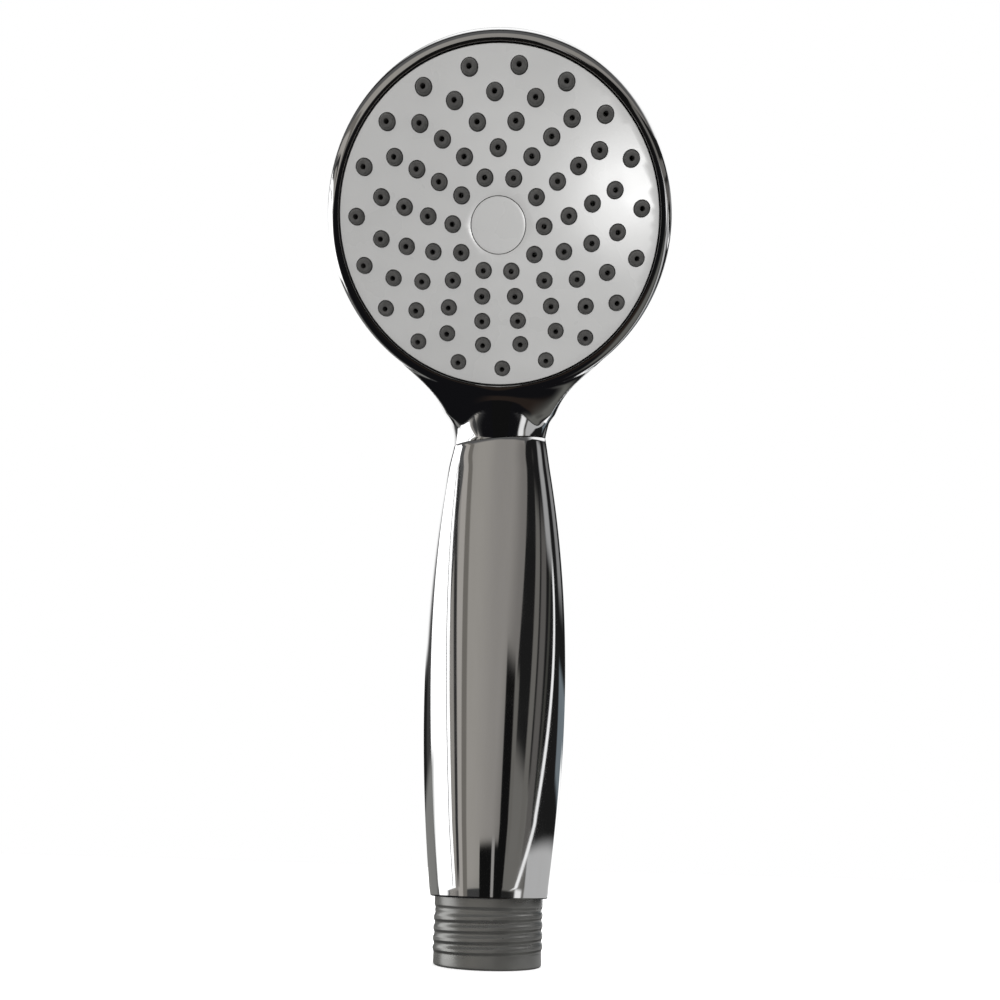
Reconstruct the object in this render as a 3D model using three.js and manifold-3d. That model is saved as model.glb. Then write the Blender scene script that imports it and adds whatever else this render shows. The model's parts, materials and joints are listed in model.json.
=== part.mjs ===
// Handheld shower head: chromed handle sleeve, chromed head with a soft-nozzle face, and a grey G 1/2 inlet.
// Millimetres. The origin is the centre of the inlet's end face, +Z runs up the thread, the face looks to -Y.
import * as THREE from "three";
import { mergeVertices } from "three/addons/utils/BufferGeometryUtils.js";
import Module from "manifold-3d";

const wasm = await Module();
wasm.setup();

const radians = Math.PI / 180;

// Driving dimensions.
const thread = { crest: 10.48, depth: 0.5, pitch: 1.814, start: 2.0, end: 10.0, collar: 12.0, bore: 7.0 };
const handle = { straight: 26, arcRadius: 223, arcAngle: 20.27 * radians, wall: 1.8 };
const barrelRadii = [11.45, 15.8, 16.1, 9.75];
const neck = { radius: 9.7, bendRadius: 40, bendAngle: 21.53 * radians, reach: 17.5, seamSlope: 0.1 };
const neckFront = { squeeze: 0.15, from: 8, over: 9, swell: 0.2 };
const neckBack = { squeeze: 0.6, from: 4, over: 15, swell: 0 };
const swellLength = 16;
const head = { y: -48.75, z: 131.2, rim: 32.75, bead: 2.2, depth: 19, power: 2.3, wall: 1.6 };
const blend = { most: 14.0, least: 2.4, behindFace: 3.0, pastSeam: 6.5 };
const recess = { radius: 30.4, depth: 5.4 };
const spigot = { outer: 10.4, top: 25.6, limit: 14, throat: 3.4 };
const spigotSocket = { from: 17, to: 22.4, radius: 4.9 };
const sealGroove = { from: 18, to: 20.2, radius: 8.7, mouth: 6.6 };
const strainer = { from: 6.0, rise: 1.8, floor: 0.7, pitch: 2.3, hole: 1.6 };
const limiter = { from: 8.1, height: 5.4, mouth: 3.6, throat: 1.3, outlet: 2.6 };
const tube = { outer: 4.5, bore: 3.1, from: 17.6, to: 99.4, collar: 6.1, collarFrom: 92.4, collarWidth: 1.4 };
const coupler = { radius: 7.3, bore: 6.4, below: 11, above: 5 };
const couplerGroove = { from: 1.6, width: 1.9, depth: 0.5 };
const snapRing = { inset: 0.2, thick: 0.35, from: 1.9, width: 1.3, split: 3 };
const stub = { from: 95.9, outer: 6.1, socket: 4.85, socketEnd: 100.2, pipe: 4.6, bore: 3.0, pastNeck: 7.5 };
const dish = { back: -14.4, floor: -12.8, ledge: -6.4, rim: -3.0, radius: 29.9, wall: 1.0 };
const boss = { radius: 5.6, bore: 3.5 };
const screw = { tip: -12.4, shank: 1.9, head: 3.4, underHead: -2.8, top: -0.9 };
const crossRecess = { length: 3.6, width: 0.8 };
const plate = { radius: 30.1, crown: 0.6, thick: 2.6, hub: 6.6, hubBack: -6.2 };
const capWell = { radius: 5.2, floor: -3.6, screwHole: 2.2 };
const nozzle = { base: 1.6, tip: 1.28, proud: 1.3, bore: 0.5, clearance: 0.32 };
const nozzleRings = [
  { radius: 26.84, count: 19, first: 101.1 },
  { radius: 22.42, count: 19, first: 110.6 },
  { radius: 17.89, count: 16, first: 102.3 },
  { radius: 13.28, count: 13, first: 90.2 },
  { radius: 8.6, count: 10, first: 106.8 },
];
const cap = { top: 0.5, skirt: 0.8, skirtBack: 2.6, proud: 0.02 };
const mat = { radius: 28.5, back: -4.3 };
const distributor = { rim: 27.0, back: -6.1, front: -4.6, wall: 0.8, tray: 0.5, port: 1.2 };
const portRings = [
  { radius: 11.5, count: 5 },
  { radius: 18, count: 7 },
  { radius: 23, count: 9 },
];
const gap = 0.3;

// Lengths along the centre line, from the inlet's end face.
const seam = handle.straight + handle.arcRadius * handle.arcAngle;
const neckEnd = seam + neck.bendRadius * neck.bendAngle;
const headTilt = handle.arcAngle + neck.bendAngle;

const finishes = {
  chrome: { color: 0xc9cbcd, roughness: 0.06, metalness: 1 },
  faceGrey: { color: 0xc4c6c7, roughness: 0.32, metalness: 0.1 },
  inletGrey: { color: 0x8d8e8a, roughness: 0.5, metalness: 0 },
  silicone: { color: 0x4c4c4c, roughness: 0.6, metalness: 0 },
  innerPlastic: { color: 0xd8d8d4, roughness: 0.5, metalness: 0 },
  darkPlastic: { color: 0x33363a, roughness: 0.5, metalness: 0 },
  rubber: { color: 0x161616, roughness: 0.8, metalness: 0 },
  steel: { color: 0xb4b6b8, roughness: 0.25, metalness: 1 },
  brass: { color: 0xb08d3e, roughness: 0.3, metalness: 1 },
};

// ---- geometry helpers

function closedGeometry(positions, indices) {
  const geometry = new THREE.BufferGeometry();
  geometry.setAttribute("position", new THREE.Float32BufferAttribute(positions, 3));
  geometry.setIndex(indices);
  return geometry;
}

// Shared vertices are merged and triangles that shrank to a line are dropped.
function merged(source) {
  const geometry = source.clone();
  geometry.deleteAttribute("normal");
  geometry.deleteAttribute("uv");
  const whole = mergeVertices(geometry, 1e-4);
  const index = Array.from(whole.index.array);
  const kept = [];
  for (let i = 0; i < index.length; i += 3) {
    const [a, b, c] = index.slice(i, i + 3);
    if (a !== b && b !== c && c !== a) kept.push(a, b, c);
  }
  whole.setIndex(kept);
  return whole;
}

function toSolid(source) {
  const geometry = merged(source);
  const vertProperties = new Float32Array(geometry.attributes.position.array);
  const triVerts = new Uint32Array(geometry.index.array);
  return new wasm.Manifold(new wasm.Mesh({ numProp: 3, vertProperties, triVerts }));
}

function toGeometry(solid) {
  const mesh = solid.getMesh();
  return closedGeometry(Array.from(mesh.vertProperties), Array.from(mesh.triVerts));
}

function join(...geometries) {
  return toGeometry(geometries.map(toSolid).reduce((whole, piece) => whole.add(piece)));
}

function cut(geometry, ...tools) {
  return toGeometry(tools.map(toSolid).reduce((whole, tool) => whole.subtract(tool), toSolid(geometry)));
}

// A solid turned round Z from [radius, height] points, listed anticlockwise; the outline closes on itself,
// or on the axis when it starts there.
function turned(outline, sides = 32) {
  const points = outline.map(([radius, height]) => new THREE.Vector2(radius, height));
  if (outline[0][0] > 0) points.push(points[0].clone());
  const geometry = new THREE.LatheGeometry(points, sides);
  geometry.rotateX(Math.PI / 2);
  return geometry;
}

function ringSection(radius, height, thickness, sides = 6) {
  const outline = [];
  for (let i = 0; i < sides; i += 1) {
    const angle = (2 * Math.PI * i) / sides;
    outline.push([radius + thickness * Math.cos(angle), height + thickness * Math.sin(angle)]);
  }
  return outline;
}

// Rows of equal length joined into a skin. Each end row is closed by a fan to its centre point.
function skin(rows, startCentre, endCentre) {
  const columns = rows[0].length;
  const positions = [...rows.flat(), startCentre, endCentre].flat();
  const first = rows.length * columns;
  const indices = [];
  for (let i = 0; i < rows.length - 1; i += 1) {
    for (let j = 0; j < columns; j += 1) {
      const a = i * columns + j;
      const b = i * columns + ((j + 1) % columns);
      indices.push(a, b, a + columns, b, b + columns, a + columns);
    }
  }
  for (let j = 0; j < columns; j += 1) {
    const k = (j + 1) % columns;
    const last = (rows.length - 1) * columns;
    indices.push(first, k, j, first + 1, last + j, last + k);
  }
  return closedGeometry(positions, indices);
}

// ---- the centre line: straight at the inlet, a long arc in the handle, a tight one in the neck, straight

function arcStep(start, radius, angle) {
  const turnedTo = start.angle + angle;
  return {
    y: start.y + radius * (Math.cos(turnedTo) - Math.cos(start.angle)),
    z: start.z + radius * (Math.sin(turnedTo) - Math.sin(start.angle)),
    angle: turnedTo,
  };
}

function straightStep(start, length) {
  return {
    y: start.y - length * Math.sin(start.angle),
    z: start.z + length * Math.cos(start.angle),
    angle: start.angle,
  };
}

const arcStart = { y: 0, z: handle.straight, angle: 0 };
const seamPoint = arcStep(arcStart, handle.arcRadius, handle.arcAngle);
const neckEndPoint = arcStep(seamPoint, neck.bendRadius, neck.bendAngle);

function centreLine(s) {
  if (s <= handle.straight) return { y: 0, z: s, angle: 0 };
  if (s <= seam) return arcStep(arcStart, handle.arcRadius, (s - handle.straight) / handle.arcRadius);
  if (s <= neckEnd) return arcStep(seamPoint, neck.bendRadius, (s - seam) / neck.bendRadius);
  return straightStep(neckEndPoint, s - neckEnd);
}

// Bends a piece made along Z so that its height becomes the length along the centre line.
function alongCentreLine(geometry) {
  const position = geometry.attributes.position;
  for (let i = 0; i < position.count; i += 1) {
    const point = centreLine(position.getZ(i));
    const y = position.getY(i);
    position.setY(i, point.y + y * Math.cos(point.angle));
    position.setZ(i, point.z + y * Math.sin(point.angle));
  }
  return geometry;
}

// [radius, height] points up a wall of changing radius.
function wallPoints(from, to, count, radiusAt) {
  const points = [];
  for (let i = 0; i <= count; i += 1) {
    const s = from + ((to - from) * i) / count;
    points.push([radiusAt(s), s]);
  }
  return points;
}

// ---- the head's outer skin, in the head's own axes: u across, v up the face, w out of the face

const headFrame = {
  seamV: -(seamPoint.y - head.y) * Math.sin(headTilt) + (seamPoint.z - head.z) * Math.cos(headTilt),
  seamW: -(seamPoint.y - head.y) * Math.cos(headTilt) - (seamPoint.z - head.z) * Math.sin(headTilt),
};
// The neck leaves the seam along (alongV, alongW) and bends round a centre on its front side.
const alongV = Math.cos(neck.bendAngle);
const alongW = -Math.sin(neck.bendAngle);
const bendV = headFrame.seamV - alongW * neck.bendRadius;
const bendW = headFrame.seamW + alongV * neck.bendRadius;

function easeIn(x) {
  const t = Math.min(Math.max(x, 0), 1);
  return t * t * (3 - 2 * t);
}

// Distance to a shallow bowl: a bead of small radius round the face, a superellipse behind it.
function bowlDistance(p, w) {
  if (w < -head.bead) {
    const across = (p / head.rim) ** head.power;
    const behind = (-(w + head.bead) / head.depth) ** head.power;
    const level = (across + behind) ** (1 / head.power);
    return Math.hypot(p, w + head.bead) * (1 - 1 / Math.max(level, 1e-6));
  }
  const fromBead = p - (head.rim - head.bead);
  return fromBead > 0 ? Math.hypot(fromBead, w + head.bead) - head.bead : w;
}

// Length past the seam, and the offset to the front, of a point beside the neck's centre line.
function neckPlace(v, w) {
  const fromV = v - bendV;
  const fromW = w - bendW;
  const angle = Math.atan2(fromV * alongV + fromW * alongW, fromV * alongW - fromW * alongV);
  if (angle < 0) {
    const dv = v - headFrame.seamV;
    const dw = w - headFrame.seamW;
    return [dv * alongV + dw * alongW, -dv * alongW + dw * alongV];
  }
  if (angle < neck.bendAngle) return [neck.bendRadius * angle, neck.bendRadius - Math.hypot(fromV, fromW)];
  return [neck.bendRadius * neck.bendAngle + v - bendV, w - bendW + neck.bendRadius];
}

// Distance to the neck: a tube that is round at the seam, swells a little at its front, grows flatter, most at
// its back, and ends in a round cap inside the bowl.
function neckDistance(u, past, offset) {
  const side = offset < 0 ? neckBack : neckFront;
  const along = Math.min(Math.max(past / swellLength, 0), 1);
  const squeeze = side.squeeze * easeIn((past - side.from) / side.over);
  const flatness = 1 + squeeze - side.swell * along * (1 - along) ** 2;
  return Math.hypot(u, offset * flatness, Math.max(past - neck.reach, 0)) - neck.radius;
}

// The two run together by a smooth minimum, widest behind the face and clear of the seam.
function headDistance([u, v, w]) {
  const [past, offset] = neckPlace(v, w);
  const a = bowlDistance(Math.hypot(u, v), w);
  const b = neckDistance(u, past, offset);
  const growth = easeIn(-w / blend.behindFace) * easeIn(past / blend.pastSeam);
  const width = blend.least + (blend.most - blend.least) * growth;
  const share = Math.min(Math.max(0.5 + (b - a) / (2 * width), 0), 1);
  return b * (1 - share) + a * share - width * share * (1 - share);
}

// Moves a point along the steepest way onto the surface at the given level.
function ontoSkin(start, level) {
  const step = 1e-3;
  let point = start;
  for (let pass = 0; pass < 10; pass += 1) {
    const here = headDistance(point);
    const slope = point.map((_, axis) => {
      const beside = point.slice();
      beside[axis] += step;
      return (headDistance(beside) - here) / step;
    });
    const steepness = slope.reduce((sum, value) => sum + value * value, 0);
    point = point.map((value, axis) => value - ((here - level) * slope[axis]) / steepness);
  }
  return point;
}

function bezier(points, t) {
  const weights = [(1 - t) ** 3, 3 * t * (1 - t) ** 2, 3 * t * t * (1 - t), t ** 3];
  return points[0].map((_, axis) => points.reduce((sum, point, i) => sum + weights[i] * point[axis], 0));
}

// One column of the skin, from the seam to the rim, at an angle round the neck measured from its front.
function guideCurve(angle, seamRadius, seamShift, rimRadius, rimW) {
  const across = Math.sin(angle);
  const front = Math.cos(angle);
  const behind = (1 - front) / 2;
  const shift = seamShift + neck.seamSlope * seamRadius * across;
  const start = [
    seamRadius * across,
    headFrame.seamV + alongV * shift - alongW * seamRadius * front,
    headFrame.seamW + alongW * shift + alongV * seamRadius * front,
  ];
  const reach = 3 + 30 * behind;
  const end = [rimRadius * across, -rimRadius * front, rimW];
  return [
    start,
    [start[0], start[1] + alongV * reach, start[2] + alongW * reach],
    [end[0], end[1] - 3 * (1 - behind), end[2] - 22 * behind],
    end,
  ];
}

function guideRow(t, columns, guide) {
  const row = [];
  for (let j = 0; j < columns; j += 1) {
    row.push(bezier(guide((2 * Math.PI * j) / columns), t));
  }
  return row;
}

// Carries a column's last point round the rim bead to the flat front.
function beadPoint([u, v, w], share) {
  const p = Math.hypot(u, v);
  const centre = head.rim - head.bead;
  const from = Math.atan2(w + head.bead, p - centre);
  const angle = from + (Math.PI / 2 - from) * share;
  let near = 0.2;
  let far = 14;
  const at = (length) => {
    const radius = centre + length * Math.cos(angle);
    return [(u * radius) / p, (v * radius) / p, -head.bead + length * Math.sin(angle)];
  };
  for (let pass = 0; pass < 30; pass += 1) {
    const middle = (near + far) / 2;
    if (headDistance(at(middle)) < 0) near = middle;
    else far = middle;
  }
  return at(near);
}

function outerHead(rowCount = 12, columns = 36, beadRows = 3) {
  const guide = (angle) => guideCurve(angle, neck.radius, gap / 2, head.rim, -head.bead);
  const rows = [];
  for (let i = 0; i <= rowCount; i += 1) {
    rows.push(guideRow(i / rowCount, columns, guide).map((point) => ontoSkin(point, 0)));
  }
  const last = rows[rows.length - 1];
  for (let i = 1; i <= beadRows; i += 1) {
    rows.push(last.map((point) => beadPoint(point, i / beadRows)));
  }
  const seamCentre = [0, headFrame.seamV + (gap / 2) * alongV, headFrame.seamW + (gap / 2) * alongW];
  return skin(rows, seamCentre, [0, 0, 0]);
}

function headCavity(rowCount = 9, columns = 24) {
  const guide = (angle) => guideCurve(angle, neck.radius - head.wall, -2, recess.radius, -recess.depth);
  const rows = [];
  for (let i = 0; i <= rowCount; i += 1) {
    const row = guideRow(i / rowCount, columns, guide);
    const inside = i > 0 && i < rowCount;
    rows.push(inside ? row.map((point) => ontoSkin(point, -head.wall)) : row);
  }
  return skin(rows, [0, headFrame.seamV - 2 * alongV, headFrame.seamW - 2 * alongW], [0, 0, -recess.depth]);
}

// ---- handle and inlet

function sleeveRadius(s) {
  const t = (s - thread.collar) / (seam - thread.collar);
  return bezier(barrelRadii.map((radius) => [radius]), t)[0];
}

function handleSleeve() {
  const lip = 0.35;
  const top = seam - gap / 2;
  const shoulder = spigot.top + gap;
  const neckBore = neck.radius - head.wall;
  const outer = wallPoints(thread.collar + lip, top, 13, sleeveRadius);
  const inner = wallPoints(top - 14, shoulder + 5, 5, (s) => sleeveRadius(s) - handle.wall);
  const outline = [
    [spigot.outer + gap, thread.collar],
    [sleeveRadius(thread.collar) - lip, thread.collar],
    ...outer,
    [neckBore, top],
    [neckBore, top - 12],
    ...inner,
    [spigot.outer - 1, shoulder + 3],
    [spigot.outer - 1, shoulder],
    [spigot.outer + gap, shoulder],
  ];
  const geometry = turned(outline, 26);
  const position = geometry.attributes.position;
  for (let i = 0; i < position.count; i += 1) {
    const share = easeIn((position.getZ(i) - top + 6) / 6);
    position.setZ(i, position.getZ(i) + share * neck.seamSlope * position.getX(i));
  }
  return alongCentreLine(geometry);
}

// Radius of the right-handed thread, with its first and last turn run out.
function threadRadius(z, angle) {
  const turns = z / thread.pitch - angle / (2 * Math.PI);
  const runOut = easeIn((z - thread.start) / 0.9) * easeIn((thread.end - z) / 0.9);
  const wave = 0.5 + 0.5 * Math.cos(2 * Math.PI * turns);
  return thread.crest - thread.depth * (1 - runOut * wave);
}

function inletSpigot(sides = 24, threadRows = 20) {
  const plain = thread.crest - thread.depth;
  const outline = [[thread.bore, 0], [plain - 0.3, 0], [plain, 0.4]];
  const threaded = [];
  for (let i = 0; i <= threadRows; i += 1) {
    threaded.push(thread.start + ((thread.end - thread.start) * i) / threadRows);
  }
  const rest = [
    [thread.crest, thread.end + 0.5],
    [thread.crest, thread.collar],
    [spigot.outer, thread.collar + 0.3],
    [spigot.outer, sealGroove.from],
    [sealGroove.radius, sealGroove.from],
    [sealGroove.radius, sealGroove.to],
    [spigot.outer, sealGroove.to],
    [spigot.outer, spigot.top],
    [sealGroove.mouth, spigot.top],
    [sealGroove.mouth, spigotSocket.to],
    [spigotSocket.radius, spigotSocket.to],
    [spigotSocket.radius, spigotSocket.from],
    [spigot.throat, spigotSocket.from],
    [spigot.throat, spigot.limit],
    [thread.bore, spigot.limit],
    [thread.bore, 0.6],
  ];
  const rings = [
    ...outline.map(([radius, z]) => () => [radius, z]),
    ...threaded.map((z) => (angle) => [threadRadius(z, angle), z]),
    ...rest.map(([radius, z]) => () => [radius, z]),
  ];
  const rows = rings.map((ring) => {
    const row = [];
    for (let j = 0; j < sides; j += 1) {
      const angle = (2 * Math.PI * j) / sides;
      const [radius, z] = ring(angle);
      row.push([radius * Math.cos(angle), radius * Math.sin(angle), z]);
    }
    return row;
  });
  return closedTube(rows);
}

// Rows joined into a ring-shaped solid: the last row meets the first.
function closedTube(rows) {
  const columns = rows[0].length;
  const indices = [];
  for (let i = 0; i < rows.length; i += 1) {
    const next = (i + 1) % rows.length;
    for (let j = 0; j < columns; j += 1) {
      const k = (j + 1) % columns;
      indices.push(i * columns + j, i * columns + k, next * columns + j);
      indices.push(i * columns + k, next * columns + k, next * columns + j);
    }
  }
  return closedGeometry(rows.flat(2), indices);
}

function waterTube() {
  const collarTo = tube.collarFrom + tube.collarWidth;
  const outline = [
    [tube.bore, tube.from],
    [tube.outer, tube.from],
    ...wallPoints(tube.from + 6, tube.collarFrom, 6, () => tube.outer),
    [tube.collar, tube.collarFrom],
    [tube.collar, collarTo],
    [tube.outer, collarTo],
    [tube.outer, tube.to],
    ...wallPoints(tube.to, tube.from + 6, 6, () => tube.bore),
  ];
  return alongCentreLine(turned(outline, 14));
}

function neckCoupler() {
  const outer = coupler.radius;
  const inner = coupler.bore;
  const low = seam - coupler.below;
  const high = seam + coupler.above;
  const grooveFrom = seam + couplerGroove.from;
  const grooveTo = grooveFrom + couplerGroove.width;
  const outline = [
    [inner, low],
    [outer - 0.4, low],
    [outer, low + 0.6],
    [outer, seam],
    [outer, grooveFrom],
    [outer - couplerGroove.depth, grooveFrom],
    [outer - couplerGroove.depth, grooveTo],
    [outer, grooveTo],
    [outer - 0.3, high],
    [inner, high],
    [inner, seam],
  ];
  return alongCentreLine(turned(outline, 20));
}

// A split ring that lies in the coupler's groove and keeps the head on.
function neckSnapRing() {
  const inner = coupler.radius - snapRing.inset;
  const outer = inner + snapRing.thick;
  const from = seam + snapRing.from;
  const to = from + snapRing.width;
  const ring = turned([[inner, from], [outer, from], [outer, to], [inner, to]], 20);
  const split = new THREE.BoxGeometry(snapRing.split, 4, 4);
  split.translate(0, inner, (from + to) / 2);
  return alongCentreLine(cut(ring, split));
}

function spigotSeal() {
  return turned(ringSection(9.7, (sealGroove.from + sealGroove.to) / 2, 0.68), 24);
}

function tubeSeal(height) {
  return alongCentreLine(turned(ringSection(5.5, height, 0.62), 16));
}

// A strainer cup: a ring with a floor of square holes.
function inletStrainer() {
  const radius = thread.bore - gap;
  const floor = strainer.from + strainer.floor;
  const top = strainer.from + strainer.rise;
  const cup = turned([
    [0, strainer.from],
    [radius, strainer.from],
    [radius, top],
    [radius - 1, top],
    [radius - 1, floor],
    [0, floor],
  ], 24);
  const holes = [];
  for (const i of [-1.5, -0.5, 0.5, 1.5]) {
    for (const j of [-1.5, -0.5, 0.5, 1.5]) {
      if (Math.hypot(i, j) > 2) continue;
      const hole = new THREE.BoxGeometry(strainer.hole, strainer.hole, 3);
      hole.translate(i * strainer.pitch, j * strainer.pitch, strainer.from);
      holes.push(hole);
    }
  }
  return cut(cup, ...holes);
}

// A flow limiter: a plug with a tapered throat.
function flowLimiter() {
  const radius = thread.bore - gap;
  const top = limiter.from + limiter.height;
  return turned([
    [limiter.throat, limiter.from + 1.6],
    [limiter.mouth, limiter.from],
    [radius, limiter.from],
    [radius, top],
    [limiter.outlet, top],
  ], 24);
}

// ---- pieces turned round the face's normal, in the head's own axes

function crownHeight(radius) {
  return plate.crown * (1 - (radius / plate.radius) ** 2);
}

// Calls make(x, y, crown) once for each nozzle place, ring by ring.
function atEachNozzle(make) {
  return nozzleRings.flatMap(({ radius, count, first }) => {
    const places = [];
    for (let i = 0; i < count; i += 1) {
      const angle = first * radians - (2 * Math.PI * i) / count;
      places.push(make(radius * Math.cos(angle), radius * Math.sin(angle), crownHeight(radius)));
    }
    return places;
  });
}

function facePlate() {
  const shoulder = plate.radius - 0.5;
  const blank = turned([
    [capWell.screwHole, plate.hubBack],
    [plate.hub, plate.hubBack],
    [plate.hub, -plate.thick],
    [plate.radius, -plate.thick],
    [plate.radius, -0.4],
    [shoulder, crownHeight(shoulder)],
    [capWell.radius, crownHeight(capWell.radius)],
    [capWell.radius, capWell.floor],
    [capWell.screwHole, capWell.floor],
  ], 36);
  const holes = atEachNozzle((x, y, crown) => {
    const height = plate.thick + crown + 1.2;
    const radius = nozzle.base + nozzle.clearance;
    const hole = new THREE.CylinderGeometry(radius, radius, height, 6);
    hole.rotateX(Math.PI / 2);
    hole.translate(x, y, height / 2 - plate.thick - 0.6);
    return hole;
  });
  return cut(blank, ...holes);
}

function nozzleMat() {
  const front = -plate.thick - gap;
  const inner = plate.hub + gap;
  const disc = turned([[inner, mat.back], [mat.radius, mat.back], [mat.radius, front], [inner, front]], 32);
  const middle = (mat.back + front) / 2;
  const cones = atEachNozzle((x, y, crown) => {
    const top = crown + nozzle.proud;
    const cone = turned([[0, middle], [nozzle.base, middle], [nozzle.tip, top], [0, top]], 6);
    cone.translate(x, y, 0);
    return cone;
  });
  const bores = atEachNozzle((x, y, crown) => {
    const bore = new THREE.CylinderGeometry(nozzle.bore, nozzle.bore, 12, 3);
    bore.rotateX(Math.PI / 2);
    bore.translate(x, y, crown);
    return bore;
  });
  return cut(join(disc, ...cones), ...bores);
}

function distributorPlate() {
  const inner = plate.hub + gap;
  const floor = distributor.front - distributor.tray;
  const blank = turned([
    [inner, distributor.back],
    [distributor.rim, distributor.back],
    [distributor.rim, distributor.front],
    [distributor.rim - distributor.wall, distributor.front],
    [distributor.rim - distributor.wall, floor],
    [inner + distributor.wall, floor],
    [inner + distributor.wall, distributor.front],
    [inner, distributor.front],
  ], 28);
  const ports = portRings.flatMap(({ radius, count }) => {
    const ring = [];
    for (let i = 0; i < count; i += 1) {
      const port = new THREE.CylinderGeometry(distributor.port, distributor.port, 6, 5);
      port.rotateX(Math.PI / 2);
      port.translate(radius, 0, distributor.back);
      port.rotateZ((2 * Math.PI * i) / count);
      ring.push(port);
    }
    return ring;
  });
  return cut(blank, ...ports);
}

// Lies round the distributor's edge, between the core's ledge and the mat.
function chamberSeal() {
  return turned(ringSection(distributor.rim + 0.95, -5.6, 0.58), 28);
}

// The water chamber with its inlet pipe, which runs down the neck to the water tube. The face stack sits on
// its ledge, and its centre boss holds the screw's insert.
function headCore() {
  const seat = dish.radius - dish.wall;
  const chamber = 24.6;
  const bowl = turned([
    [0, dish.back],
    [18.5, dish.back],
    [27.4, -9.2],
    [28.8, -6.6],
    [dish.radius, -5.0],
    [dish.radius, dish.rim],
    [seat, dish.rim],
    [seat, dish.ledge],
    [chamber, dish.ledge],
    [chamber, dish.ledge - 1.2],
    [18.0, dish.floor],
    [boss.radius, dish.floor],
    [boss.radius, dish.ledge - 0.4],
    [boss.bore, dish.ledge - 0.4],
    [boss.bore, dish.floor - 0.5],
    [0, dish.floor - 0.5],
  ], 26);
  const pipeEnd = neckEnd + stub.pastNeck;
  const boreEnd = pipeEnd - 1.4;
  const outer = inHeadAxes(alongCentreLine(turned([
    [0, stub.from],
    ...wallPoints(stub.from, seam - 1, 2, () => stub.outer),
    ...wallPoints(seam, pipeEnd, 6, () => stub.pipe),
    [0, pipeEnd],
  ], 12)));
  const inner = inHeadAxes(alongCentreLine(turned([
    [0, stub.from - 1],
    ...wallPoints(stub.from - 1, stub.socketEnd, 2, () => stub.socket),
    ...wallPoints(stub.socketEnd, boreEnd, 6, () => stub.bore),
    [0, boreEnd],
  ], 12)));
  const stackSpace = turned([[0, dish.ledge], [seat, dish.ledge], [seat, 1], [0, 1]], 26);
  const post = turned([
    [boss.bore, dish.floor - 0.2],
    [boss.radius, dish.floor - 0.2],
    [boss.radius, dish.ledge - 0.4],
    [boss.bore, dish.ledge - 0.4],
  ], 16);
  return join(cut(join(bowl, outer), inner, stackSpace), post);
}

function screwInsert() {
  const bore = screw.shank + gap;
  const outer = boss.bore - gap;
  const low = screw.tip - 0.2;
  const high = dish.ledge - 0.6;
  return turned([[bore, low], [outer, low], [outer, high], [bore, high]], 16);
}

// Pan-head screw with a cross recess.
function centreScrew() {
  const body = turned([
    [0, screw.tip],
    [screw.shank - 0.3, screw.tip],
    [screw.shank, screw.tip + 0.6],
    [screw.shank, screw.underHead],
    [screw.head, screw.underHead],
    [screw.head, screw.top - 0.7],
    [screw.head - 0.7, screw.top],
    [0, screw.top],
  ], 16);
  const slots = [0, Math.PI / 2].map((angle) => {
    const slot = new THREE.BoxGeometry(crossRecess.length, crossRecess.width, 1.4);
    slot.rotateZ(angle);
    slot.translate(0, 0, screw.top - 0.2);
    return slot;
  });
  return cut(body, ...slots);
}

// A flat washer under the screw's head.
function screwSeal() {
  const low = capWell.floor + 0.2;
  const high = screw.underHead - 0.25;
  return turned([[2.3, low], [3.9, low], [3.9, high], [2.3, high]], 16);
}

// The plain cap over the screw: a thin disc with a short skirt.
function screwCap() {
  const radius = capWell.radius - gap;
  return turned([
    [0, -cap.top],
    [radius - cap.skirt, -cap.top],
    [radius - cap.skirt, -cap.skirtBack],
    [radius, -cap.skirtBack],
    [radius, crownHeight(radius) - 0.15],
    [radius - 0.2, crownHeight(radius) + cap.proud],
    [0, crownHeight(0) + cap.proud],
  ], 28);
}

// ---- assembly

const headGroup = new THREE.Group();
headGroup.position.set(0, head.y, head.z);
headGroup.rotation.x = Math.PI / 2 + headTilt;
headGroup.updateMatrixWorld();

// Takes a geometry from the part's axes to the head's own.
function inHeadAxes(geometry) {
  return geometry.applyMatrix4(headGroup.matrixWorld.clone().invert());
}

function piece(name, geometry, finish) {
  const mesh = new THREE.Mesh(merged(geometry), new THREE.MeshStandardMaterial(finishes[finish]));
  mesh.name = name;
  return mesh;
}

const recessFloor = -recess.depth - 0.1;
const recessTool = turned([[0, recessFloor], [recess.radius, recessFloor], [recess.radius, 4], [0, 4]], 40);

headGroup.add(
  piece("head_shell", cut(outerHead(), headCavity(), recessTool), "chrome"),
  piece("head_core", headCore(), "innerPlastic"),
  piece("screw_insert", screwInsert(), "brass"),
  piece("chamber_seal", chamberSeal(), "rubber"),
  piece("distributor_plate", distributorPlate(), "innerPlastic"),
  piece("nozzle_mat", nozzleMat(), "silicone"),
  piece("face_plate", facePlate(), "faceGrey"),
  piece("screw_seal", screwSeal(), "rubber"),
  piece("centre_screw", centreScrew(), "steel"),
  piece("screw_cap", screwCap(), "faceGrey"),
);

const shower = new THREE.Group();
shower.add(
  piece("handle_sleeve", handleSleeve(), "chrome"),
  piece("inlet_spigot", inletSpigot(), "inletGrey"),
  piece("spigot_seal", spigotSeal(), "rubber"),
  piece("inlet_strainer", inletStrainer(), "darkPlastic"),
  piece("flow_limiter", flowLimiter(), "innerPlastic"),
  piece("water_tube", waterTube(), "innerPlastic"),
  piece("tube_seal_lower", tubeSeal(23.6), "rubber"),
  piece("tube_seal_upper", tubeSeal(94.85), "rubber"),
  piece("neck_coupler", neckCoupler(), "darkPlastic"),
  piece("neck_snap_ring", neckSnapRing(), "steel"),
  headGroup,
);

export default shower;
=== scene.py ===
import json
import math

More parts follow.
